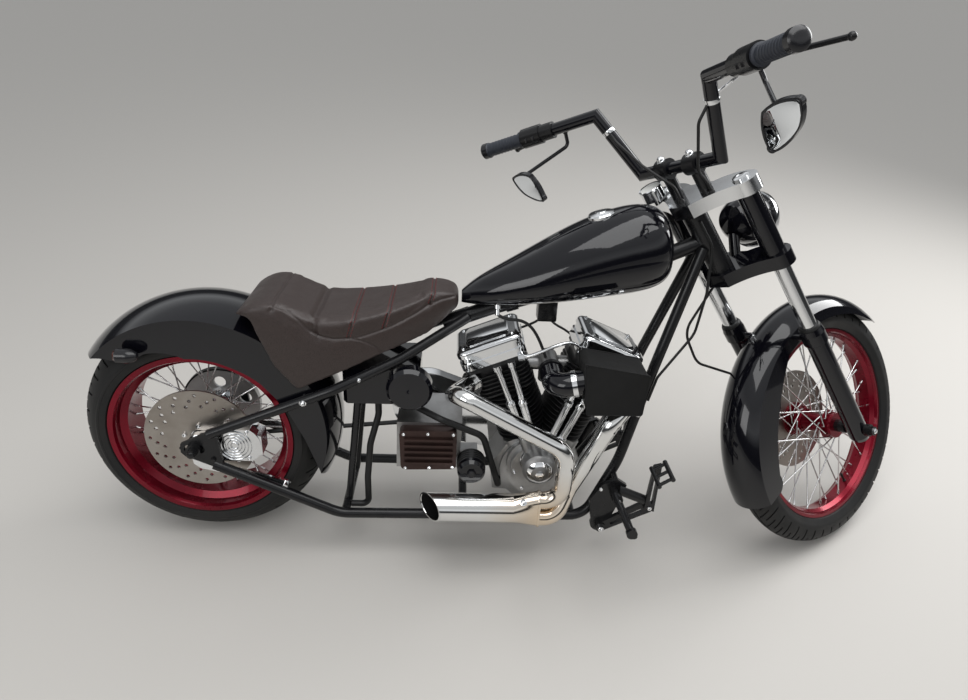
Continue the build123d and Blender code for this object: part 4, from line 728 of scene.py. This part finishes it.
def tyre(name, section, least_radius, depth, pitches, slant, edges, on):
    """A tyre with its tread: a groove round the middle, and slanted ones out to the shoulders.

    Edges are distances from the middle: the middle groove's, where the inner and the outer slanted
    grooves start, and where they end. Slant is in radians a millimetre.
    """
    piece = spun(section, pitches * STEPS_A_PITCH, "y")
    pitch = 2 * pi / pitches
    middle, inner_start, outer_start, inner_end, outer_end = edges
    for vertex in piece.data.vertices:
        vertex.co = Matrix.Rotation(slant * abs(vertex.co.y), 4, "Y") @ vertex.co

    def groove(centre, normal):
        y = abs(centre.y)
        if hypot(centre.x, centre.z) < least_radius or normal.x * centre.x + normal.z * centre.z < 0:
            return False
        if y < middle:
            return True
        angle = atan2(-centre.z, centre.x) - slant * y
        step = int((angle / pitch % 1) * STEPS_A_PITCH)
        return (step == 1 and inner_start < y < inner_end) or (step == 5 and outer_start < y < outer_end)

    edit_faces(piece, groove, lambda: bpy.ops.mesh.extrude_region_shrink_fatten(
        TRANSFORM_OT_shrink_fatten={"value": -depth}))
    settle(piece, name, on, "tyre", angle=28)
    return piece


def make_tyres():
    rear = tyre("rear_tyre_treaded", rear_section(), 281, 4.5, 36, 0.0016,
                (3.2, 9, 27, 56, 77), ON_REAR_WHEEL)
    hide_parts("rear_tyre")
    front = tyre("front_tyre_treaded", front_section(), 309, 3.5, 48, 0.0024,
                 (2.2, 5, 17, 33, 45), ON_FRONT_WHEEL)
    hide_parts("front_tyre")


# Spoke nipples, valves and hub trim

SPOKES = 40
SPOKE_LEAD = radians(70)
ELBOW_RADIUS = 37


def nipples(name, rim_radius, on):
    """A nipple on each spoke's end in the rim, laced as the spokes are."""
    pattern = spun([(0, 0), (3.4, 0), (3.4, 3), (2.9, 4), (2.9, 13), (2.4, 14.5), (0, 14.5)], 12, "z")
    rows = []
    for index in range(SPOKES):
        side = 1 if index % 2 else -1
        lead = 1 if index % 4 < 2 else -1
        rim_angle = radians((index + 0.5) * 360 / SPOKES)
        hub_angle = rim_angle + lead * SPOKE_LEAD
        end = Vector((rim_radius * cos(rim_angle), side * (8 + lead * 4), rim_radius * sin(rim_angle)))
        elbow = Vector((ELBOW_RADIUS * cos(hub_angle), side * (42 + lead * 8.5),
                        ELBOW_RADIUS * sin(hub_angle)))
        rows.append((end, elbow - end, 1))
    settle(copies(pattern, rows), name, on, "stainless")
    discard(pattern)


def make_wheel_trim():
    nipples("rear_nipples", 205, ON_REAR_WHEEL)
    nipples("front_nipples", 253, ON_FRONT_WHEEL)
    valve = [(0, 0), (5, 0), (5, 3), (3.2, 5), (3.2, 20), (4, 21), (4, 30), (0, 31)]
    turned(valve, (0, 0, -206), (0, 0, 1), "rear_valve", ON_REAR_WHEEL, "rubber", 16)
    turned(valve, (0, 0, -254), (0, 0, 1), "front_valve", ON_FRONT_WHEEL, "rubber", 16)
    cap = [(0, 0), (11, 0), (11, 5), (9, 9), (5, 11), (0, 11.5)]
    front_cap = [(0, 0), (7.5, 0), (7.5, 3), (5, 5), (0, 5.5)]
    turned(front_cap, (58, -172, 0), (0, -1, 0), "front_axle_cap", ON_FORK, "chrome", 32)
    turned(cap, (0, -162, 322), (0, -1, 0), "rear_axle_cap_right", ON_FRAME, "black_parts", 32)
    turned(cap, (0, 162, 322), (0, 1, 0), "rear_axle_cap_left", ON_FRAME, "black_parts", 32)


# Seat

# Seams in the seat's side view, x and height: round the rear panel, and on from it to the nose
REAR_SEAM = ((240, 722), (259, 715), (287, 693), (318, 662), (337, 650), (374, 642), (413, 644),
             (441, 637), (470, 622), (493, 600), (506, 586))
NOSE_SEAM = ((413, 644), (437, 647), (461, 654), (509, 670), (542, 685), (576, 702), (605, 720),
             (635, 731), (664, 735))
PANEL_EDGE = REAR_SEAM[:7] + NOSE_SEAM[1:]
SEAT_TOP = ((130, 694), (150, 708), (204, 726), (254, 718), (300, 698), (345, 686), (400, 689),
            (460, 700), (520, 715), (578, 734), (630, 748), (672, 738), (700, 700))
CROSS_SEAMS = (422, 507, 613)
SEAM_LEAN = 0.3
RIDGE_X = 230
FOLD_X = 326
STITCH_PITCH = 7.5

# Settings of the cover's pressure run: metres and frames
VOXEL = 0.005
FILL_FRAMES = 20
MOST_SWELL = 0.005


def line_distance(x, z, line):
    """Distance from a point to a polyline, in the side view."""
    best = 1e9
    for (x1, z1), (x2, z2) in zip(line, line[1:]):
        along = ((x - x1) * (x2 - x1) + (z - z1) * (z2 - z1)) / ((x2 - x1) ** 2 + (z2 - z1) ** 2)
        along = min(max(along, 0), 1)
        best = min(best, hypot(x - x1 - along * (x2 - x1), z - z1 - along * (z2 - z1)))
    return best


def height_on(line, x):
    """Height of a seam or outline at a place along the seat; out of reach beyond its ends."""
    for (x1, z1), (x2, z2) in zip(line, line[1:]):
        if x1 <= x <= x2:
            return z1 + (z2 - z1) * (x - x1) / (x2 - x1)
    return 900


def leaning(x, z):
    """How far back a cross seam has come at a height: it leans down the seat's sides."""
    return SEAM_LEAN * max(0, height_on(SEAT_TOP, x) - z)


def sewn_depth(point):
    """How far the cover is drawn in at a point by its seams and the fold, in millimetres."""
    x, y, z = point
    depth = 0
    if z > height_on(PANEL_EDGE, x) - 2:
        for seam in CROSS_SEAMS:
            depth += 3.4 * exp(-((x + leaning(x, z) - seam) / 3.4) ** 2)
        depth += 7 * exp(-((x - FOLD_X) / 9) ** 2)
    if abs(y) > 45:
        nearest = min(line_distance(x, z, REAR_SEAM), line_distance(x, z, NOSE_SEAM))
        depth += 3.2 * exp(-(nearest / 3.2) ** 2)
    if z > 712 and x < 250:
        depth += 3.2 * exp(-((x - RIDGE_X) / 3.2) ** 2)
    return min(depth, 8)


def padded_seat():
    """The saddle: a copy of the CAD seat filled by pressure, then drawn in along its seams."""
    piece = linked("seat_cover", frame["nodes"]["seat"].data.copy())
    piece.data.transform(UPRIGHT.inverted())
    select(piece)
    edit_all()
    bpy.ops.mesh.remove_doubles(threshold=0.00001)
    bpy.ops.object.mode_set(mode="OBJECT")
    remesh = piece.modifiers.new("remesh", "REMESH")
    remesh.mode = "VOXEL"
    remesh.voxel_size = VOXEL
    bpy.ops.object.modifier_apply(modifier="remesh")
    upper = piece.vertex_groups.new(name="upper")
    for vertex in piece.data.vertices:
        x, _, z = vertex.co * 1000
        upper.add([vertex.index], min(max((z - height_on(SEAT_TOP, x) + 70) / 40, 0.08), 1), "REPLACE")
    soften = piece.modifiers.new("soften", "SMOOTH")
    soften.factor = 0.5
    soften.iterations = 40
    soften.vertex_group = "upper"
    bpy.ops.object.modifier_apply(modifier="soften")
    fill_with_pressure(piece)
    smooth = piece.modifiers.new("smooth", "SUBSURF")
    smooth.levels = smooth.render_levels = 1
    bpy.ops.object.modifier_apply(modifier="smooth")
    moves = [(vertex, vertex.co - vertex.normal * sewn_depth(vertex.co * 1000) / 1000)
             for vertex in piece.data.vertices if vertex.normal.z > -0.3]
    for vertex, place in moves:
        vertex.co = place
    stitches = stitching(piece)
    piece.data.transform(Matrix.Scale(1000, 4))
    settle(piece, "seat_cover", ON_FRAME, "seat_leather", angle=60)
    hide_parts("seat")
    settle(stitches, "seat_stitching", ON_FRAME, "thread")


def fill_with_pressure(piece):
    """Swells the cover a few millimetres; its underside stays where it rests."""
    held = piece.vertex_groups.new(name="held")
    held.add([vertex.index for vertex in piece.data.vertices if vertex.normal.z < 0.1
              and abs(vertex.normal.y) < 0.8], 1.0, "REPLACE")
    before = [vertex.co.copy() for vertex in piece.data.vertices]
    cloth = piece.modifiers.new("fill", "CLOTH")
    cloth.settings.quality = 5
    cloth.settings.use_pressure = True
    cloth.settings.uniform_pressure_force = 4
    cloth.settings.vertex_group_mass = "held"
    cloth.settings.effector_weights.gravity = 0
    cloth.point_cache.frame_start = 1
    cloth.point_cache.frame_end = FILL_FRAMES
    for step in range(1, FILL_FRAMES + 1):
        bpy.context.scene.frame_set(step)
    bpy.ops.object.modifier_apply(modifier="fill")
    bpy.context.scene.frame_set(1)
    for vertex, start in zip(piece.data.vertices, before):
        move = vertex.co - start
        if move.length > MOST_SWELL:
            vertex.co = start + move.normalized() * MOST_SWELL


def cross_line(piece, seam, beside):
    """Points and normals on the cover along a row of stitches beside a cross seam."""
    line = []
    for step in range(401):
        angle = radians(step * 0.5 - 10)
        direction = Vector((0, -cos(angle), -sin(angle)))
        x = seam + beside
        for _ in range(2):
            origin = Vector((x, 0, 640)) - direction * 300
            hit, place, normal, _ = piece.ray_cast(origin / 1000, direction)
            if hit:
                x = seam + beside - leaning(seam, place.z * 1000)
        if hit and place.z * 1000 > height_on(PANEL_EDGE, x) + 3:
            line.append((place * 1000, normal))
    return line


def stitch_rows(line):
    """Evenly spaced stitches along a line on the surface: rows of (point, direction, size)."""
    rows = []
    travelled = 0
    for (a, normal), (b, _) in zip(line, line[1:]):
        step = (b - a).length
        if step > 12:
            continue
        travelled += step
        if travelled >= STITCH_PITCH:
            travelled -= STITCH_PITCH
            rows.append((a + normal * 0.25, b - a, 1))
    return rows


def stitching(piece):
    """Two rows of stitches beside each cross seam."""
    pattern = spun([(0, -2.6), (0.5, -2.3), (0.7, -1), (0.7, 1), (0.5, 2.3), (0, 2.6)], 7, "z")
    rows = []
    for seam in CROSS_SEAMS:
        for beside in (-4.5, 4.5):
            rows += stitch_rows(cross_line(piece, seam, beside))
    stitches = copies(pattern, rows)
    discard(pattern)
    return stitches


# Engine details

def make_engine():
    """Rocker panels, plugs, coil, dome trim, breather pipe, primary drive's covers, exhaust trim."""
    panel = [(x, y - 18) for x, y in ((-58, -40), (-48, -56), (48, -56), (58, -40), (58, 40), (48, 56),
                                      (-48, 56), (-58, 40))]
    plug = [(0, 0), (11, 0), (11, 8), (6, 9), (6, 22), (0, 22)]
    boot = [(0, 0), (8, 0), (9, 4), (8, 24), (5, 34), (0, 34)]
    for sign, name in ((-1, "rear"), (1, "front")):
        on = on_bank(sign)
        plate(panel, 3, Matrix.Translation((0, 0, 432)), f"{name}_rocker_panel", on, "chrome", 1.2)
        turned(plug, (0, 57, 300), (0, 1, 0.3), f"{name}_spark_plug", on, "stainless", 6)
        turned(boot, (0, 73, 305), (0, 1, 0.3), f"{name}_plug_boot", on, "rubber", 20)
        start = CRANK + bank_turn(sign) @ Vector((0, 104, 314))
        pipe([start, start + Vector((0, 26, 10)), start + Vector((-sign * 40, 30, 50)),
              (918 + sign * 20, 96, 610), (918 + sign * 12, 72, 634)], 3.5, f"{name}_plug_lead",
             ON_FRAME, "rubber")
    plate([(-26, -32), (26, -32), (26, 32), (-26, 32)], 48, facing((918, 44, 664), (0, 1, 0)),
          "ignition_coil", ON_FRAME, "black_parts", 4)
    plate([(-8, 0), (8, 0), (8, 36), (-8, 36)], 4,
          Matrix.Translation((918, 48, 690)) @ Matrix.Rotation(radians(90), 4, "X"),
          "coil_bracket", ON_FRAME, "black_parts", 0.8)
    turned([(45.2, 0), (49, 0), (49, 4), (47, 6), (45.2, 6)], (906, -98, 278), (0, -1, 0), "dome_ring",
           ON_FRAME, "chrome", 64)
    turned([(24, -7), (34, -14), (35, -11), (30, -7), (24, -4.4)], (906, -165, 278), (0, -1, 0),
           "dome_step", ON_FRAME, "chrome", 64)
    turned([(0, -2), (12, -2), (12, 0.6), (9, 2), (0, 2.4)], (906, -165, 278), (0, -1, 0), "dome_button",
           ON_FRAME, "chrome", 40)
    pipe([(820, -70, 590), (839, -110, 597), (877, -116, 613), (926, -118, 640), (966, -112, 648),
          (993, -106, 618), (1006, -98, 588)], 4.5, "breather_pipe", ON_FRAME, "chrome")
    fitting = [(0, 0), (8, 0), (8, 16), (6, 18), (6, 26), (0, 26)]
    turned(fitting, (832, -104, 594), (1, -0.1, 0.3), "breather_fitting", ON_FRAME, "chrome", 6)
    turned(fitting, (1002, -101, 598), (0.3, 0.3, -1), "breather_end", ON_FRAME, "chrome", 6)
    derby = [(0, 0), (58, 0), (58, 4), (54, 7), (0, 8)]
    turned(derby, (594, 171.5, 322), (0, 1, 0), "derby_cover", ON_FRAME, "chrome", 72)
    turned([(0, 0), (24, 0), (24, 3), (21, 5), (0, 5.5)], (812, 171.5, 262), (0, 1, 0),
           "inspection_cover", ON_FRAME, "chrome", 48)
    make_exhaust_band()


def make_exhaust_band():
    """Band where both headers enter the collector, its bolt, soot in the tip, the ports' flanges."""
    section = [(24.8, -3), (27, -3), (27.6, -2), (27.6, 2), (27, 3), (24.8, 3)]
    piece = spun(section, 62, "z")
    for vertex in piece.data.vertices:
        vertex.co.x += 27 if vertex.co.x > 0 else -27
    piece.data.transform(Matrix.Translation((902, -205, 200)) @ Matrix.Rotation(radians(-90), 4, "Y"))
    settle(piece, "collector_band", ON_FRAME, "heated_chrome")
    lining = spun([(0, 0), (34.8, 0), (34.8, 300), (34.2, 300), (34.2, 2), (0, 2)], 48, "z")
    lining.data.transform(facing((814, -205, 200), (-1, 0, 0)))
    edit_all()
    bpy.ops.mesh.bisect(plane_co=(617, -205, 200), plane_no=(0.81, 0.59, 0), clear_inner=True)
    bpy.ops.object.mode_set(mode="OBJECT")
    settle(lining, "exhaust_soot", ON_FRAME, "soot")
    bolt = [(0, -4), (9, -4), (9, 2), (6, 3), (6, 7), (4, 8.5), (0, 9)]
    turned(bolt, (860, -225, 234), (-0.1, -0.67, 0.74), "collector_bolt", ON_FRAME, "chrome", 24)
    flange = [(23.3, 0), (34, 0), (34, 5), (23.3, 5)]
    turned(flange, (721, -52, 492), (-0.66, -0.75, -0.08), "rear_exhaust_flange", ON_FRAME, "stainless")
    turned(flange, (1115, -68, 493), (0.62, -0.785, -0.02), "front_exhaust_flange", ON_FRAME, "stainless")


# Fork, bar and lamp details

def bar_point(side, share):
    """A point along a grip section of the bar, from its corner at 0 to its end at 1."""
    start = Vector((31, side * 179, 1080))
    return start + (Vector((-110, side * 483, 1131)) - start) * share


def make_front_end():
    """Bands, grips and switches on the bar, caps and seals on the fork, headlight, gauge, grommets."""
    lamp_axis = Vector((cos(RAKE), 0, -sin(RAKE)))
    lamp = (185, 0, 631)
    for side, name in ((-1, "right"), (1, "left")):
        foot = Vector((26, side * 123, 897))
        rise = Vector((5, side * 56, 183))
        band = [(16, 0), (17.2, 0), (17.4, 1), (17.4, 9), (17.2, 10), (16, 10)]
        turned(band, foot + rise * 0.70, rise, f"{name}_bar_band", ON_FORK, "chrome")
        along = bar_point(side, 1) - bar_point(side, 0)
        cap = [(0, -13.2), (21.2, -13.2), (21.2, 2.5), (17, 6.5), (9, 8.6), (0, 9)]
        turned(cap, bar_point(side, 1.0), along, f"{name}_grip_cap", ON_FORK, "black_plastic")
        ridge = [(17.8, 0), (18.8, 0.6), (18.8, 2.4), (17.8, 3)]
        pattern = spun(ridge, 40, "z")
        rows = [(bar_point(side, 0.70 + step * 0.03), along, 1) for step in range(9)]
        settle(copies(pattern, rows), f"{name}_grip_ridges", ON_FORK, "grip_rubber")
        discard(pattern)
        switch = [(-9, -5), (9, -5), (9, 5), (-9, 5)]
        for step in (0.50, 0.56):
            button = bar_point(side, step) + Vector((-24.5, 0, 3))
            switch_name = f"{name}_switch_{round(step * 100)}"
            plate(switch, 3, facing(button, (-1, 0, 0.1)), switch_name, ON_FORK, "black_plastic")
        turned([(0, 0), (9, 0), (9, 3), (6, 5), (0, 5)], bar_point(side, 0.40) + Vector((50, 0, -7)),
               (0, 0, 1), f"{name}_lever_pivot", ON_FORK, "stainless", 24)
        top = [(0, 0), (19, 0), (19, 1.5), (16, 3), (9, 3.2), (8, 2), (0, 2)]
        turned(top, (58, side * 122, 825), (0, 0, 1), f"{name}_fork_cap", ON_FORK, "chrome")
        seal = [(20.6, 0), (27, 0), (27, 3), (24, 8), (20.6, 8)]
        turned(seal, (58, side * 122, 368), (0, 0, 1), f"{name}_fork_seal", ON_FORK, "rubber")
    pipe([bar_point(-1, 0.30) + Vector((44, 0, -20)), bar_point(-1, 0.18) + Vector((50, 0, -34)),
          bar_point(-1, 0.04) + Vector((34, 0, -40)), (33, -178, 1040)], 3, "brake_banjo", ON_FORK,
         "chrome")
    grommet = [(3.6, 0), (8, 0), (8, 2), (5.5, 6), (3.6, 6)]
    for name, x, y in (("left", -10, 8), ("right", 14, -68)):
        turned(grommet, (x, y, 821), (0, 0, 1), f"{name}_cable_grommet", ON_FORK, "rubber", 24)
    rim = [(62, 1), (64, 4), (70, 3), (73.5, -2), (73.5, -15), (70.2, -15), (70.2, -4), (64, 0)]
    turned(rim, lamp, lamp_axis, "headlight_rim", ON_FORK, "chrome", 72)
    lens = [(0, -1), (63, -1), (63, 1), (50, 5), (30, 8), (0, 10)]
    turned(lens, lamp, lamp_axis, "headlight_lens", ON_FORK, "lens_glass", 64)
    dial = [(0, 0), (25, 0), (25, 1), (0, 1.2)]
    turned(dial, (-2, 92, 869.3), (0, 0, 1), "gauge_dial", ON_FORK, "dial")
    bezel = [(25, -2), (30, -2), (30.5, 1), (29, 3), (25.5, 2)]
    turned(bezel, (-2, 92, 869), (0, 0, 1), "gauge_bezel", ON_FORK, "chrome", 56)


LEAF = ((-34, 34), (-22, 40), (-8, 44), (8, 46), (24, 45.5), (36, 43), (43, 40), (46.5, 34), (45, 26),
        (42, 12), (36, 0), (28, -12), (16, -22), (4, -30), (-12, -38), (-24, -43), (-34, -46), (-42, -46),
        (-47, -40), (-47, -30), (-46.5, -12), (-44, 10), (-40, 24))


def make_mirrors():
    """Glass and a raised rim on the back face of each mirror."""
    for side, name in ((-1, "right"), (1, "left")):
        centre = Vector((-98, side * 400, 992))
        normal = Vector((-1, 0, 0.1)).normalized()
        across = Vector((0, -1, 0))
        up = normal.cross(across)
        turn = Matrix((across, up, normal)).transposed().to_4x4()
        place_in = Matrix.Translation(centre + normal * 13) @ turn
        outline = [(x if side < 0 else -x, y) for x, y in LEAF]
        if side > 0:
            outline.reverse()
        plate([(x * 0.88, y * 0.88) for x, y in outline], 0.8, place_in, f"{name}_mirror_glass", ON_FORK,
              "mirror_glass", 0.2)
        pipe([place_in @ Vector((x * 0.94, y * 0.94, 0.4)) for x, y in outline + outline[:2]], 1.8,
             f"{name}_mirror_rim", ON_FORK, "black_plastic")


# Body details

def make_body():
    """Filler cap, lamp lenses, air filter trim, oil filter and caliper ribs, clamp, fuel tap and line."""
    cap = [(0, -6), (34, -6), (34, 2), (31, 5), (14, 7), (12, 9), (0, 10)]
    turned(cap, (1022, 0, 943), (-0.3, 0, 1), "filler_cap", ON_FRAME, "chrome", 56)
    for side, name in ((-1, "right"), (1, "left")):
        turned([(0, 0), (14, 0), (12, 4), (0, 6)], (-149, side * 142, 590), (-1, 0, 0),
               f"{name}_lamp_lens", ON_FRAME, "smoked_lens", 32)
    band = [(30.5, -6), (33, -6), (33, 6), (30.5, 6)]
    turned(band, (964, -193.2, 571.8), (86, -6, 22), "filter_band", ON_FRAME, "chrome", 56)
    turned(band, (918, -108, 560), (0, -1, 0), "elbow_band", ON_FRAME, "black_parts", 56)
    corners = [Vector((x, 0, z)) for x, z in ((974, 650), (1132, 624), (1126, 516), (992, 514))]
    for y, name in ((-243.4, "outer"), (-150.6, "inner")):
        loop = []
        for before, corner, after in zip(corners[-1:] + corners[:-1], corners, corners[1:] + corners[:1]):
            for point in (corner + (before - corner).normalized() * 11, corner,
                          corner + (after - corner).normalized() * 11):
                loop.append(point + Vector((0, y, 0)))
        pipe(loop + loop[:2], 1.8, f"filter_piping_{name}", ON_FRAME, "filter_fabric")
    turned([(0, 0), (12, 0), (12, 6), (9, 8), (0, 8)], (723, -162, 278), (0, -1, 0), "oil_filter_nut",
           ON_FRAME, "black_plastic", 6)
    rib = [(38, 0), (39.4, 1), (39.4, 4), (38, 5)]
    pattern = spun(rib, 48, "z")
    rows = [((723, -100 - step * 9, 278), (0, -1, 0), 0.975) for step in range(5)]
    settle(copies(pattern, rows), "oil_filter_ribs", ON_FRAME, "rubber")
    discard(pattern)
    fin = ((9.2, 0), (10.8, 0), (10.8, 2.2), (10, 3), (9.2, 2.2))
    rings = []
    for step in range(5):
        ring = spun([(r + step * 8.5, y) for r, y in fin], 48, "z")
        ring.data.transform(facing((98, -118.8, 322), (0, -1, 0)))
        rings.append(ring)
    settle(joined(rings), "rear_caliper_ribs", ON_FRAME, "polished_aluminium")
    clamp = [(14.2, -7), (16, -7), (16, 7), (14.2, 7)]
    turned(clamp, (1164, -79.5, 429), (0.243, 0.125, 0.962), "down_tube_clamp", ON_FRAME,
           "stainless", 40)
    tap = [(0, 0), (9, 0), (9, 14), (6, 16), (6, 30), (0, 30)]
    turned(tap, (776, -32, 712), (0, -0.5, -1), "fuel_tap", ON_FRAME, "chrome", 20)
    pipe([(776, -44, 688), (792, -50, 676), (846, -54, 678), (884, -64, 640), (906, -72, 582)], 4,
         "fuel_line", ON_FRAME, "rubber")


make_camera()
make_lamps()
make_room()
make_floor()
dress_nodes()
make_bolts()
make_tyres()
make_wheel_trim()
padded_seat()
make_engine()
make_front_end()
make_mirrors()
make_body()
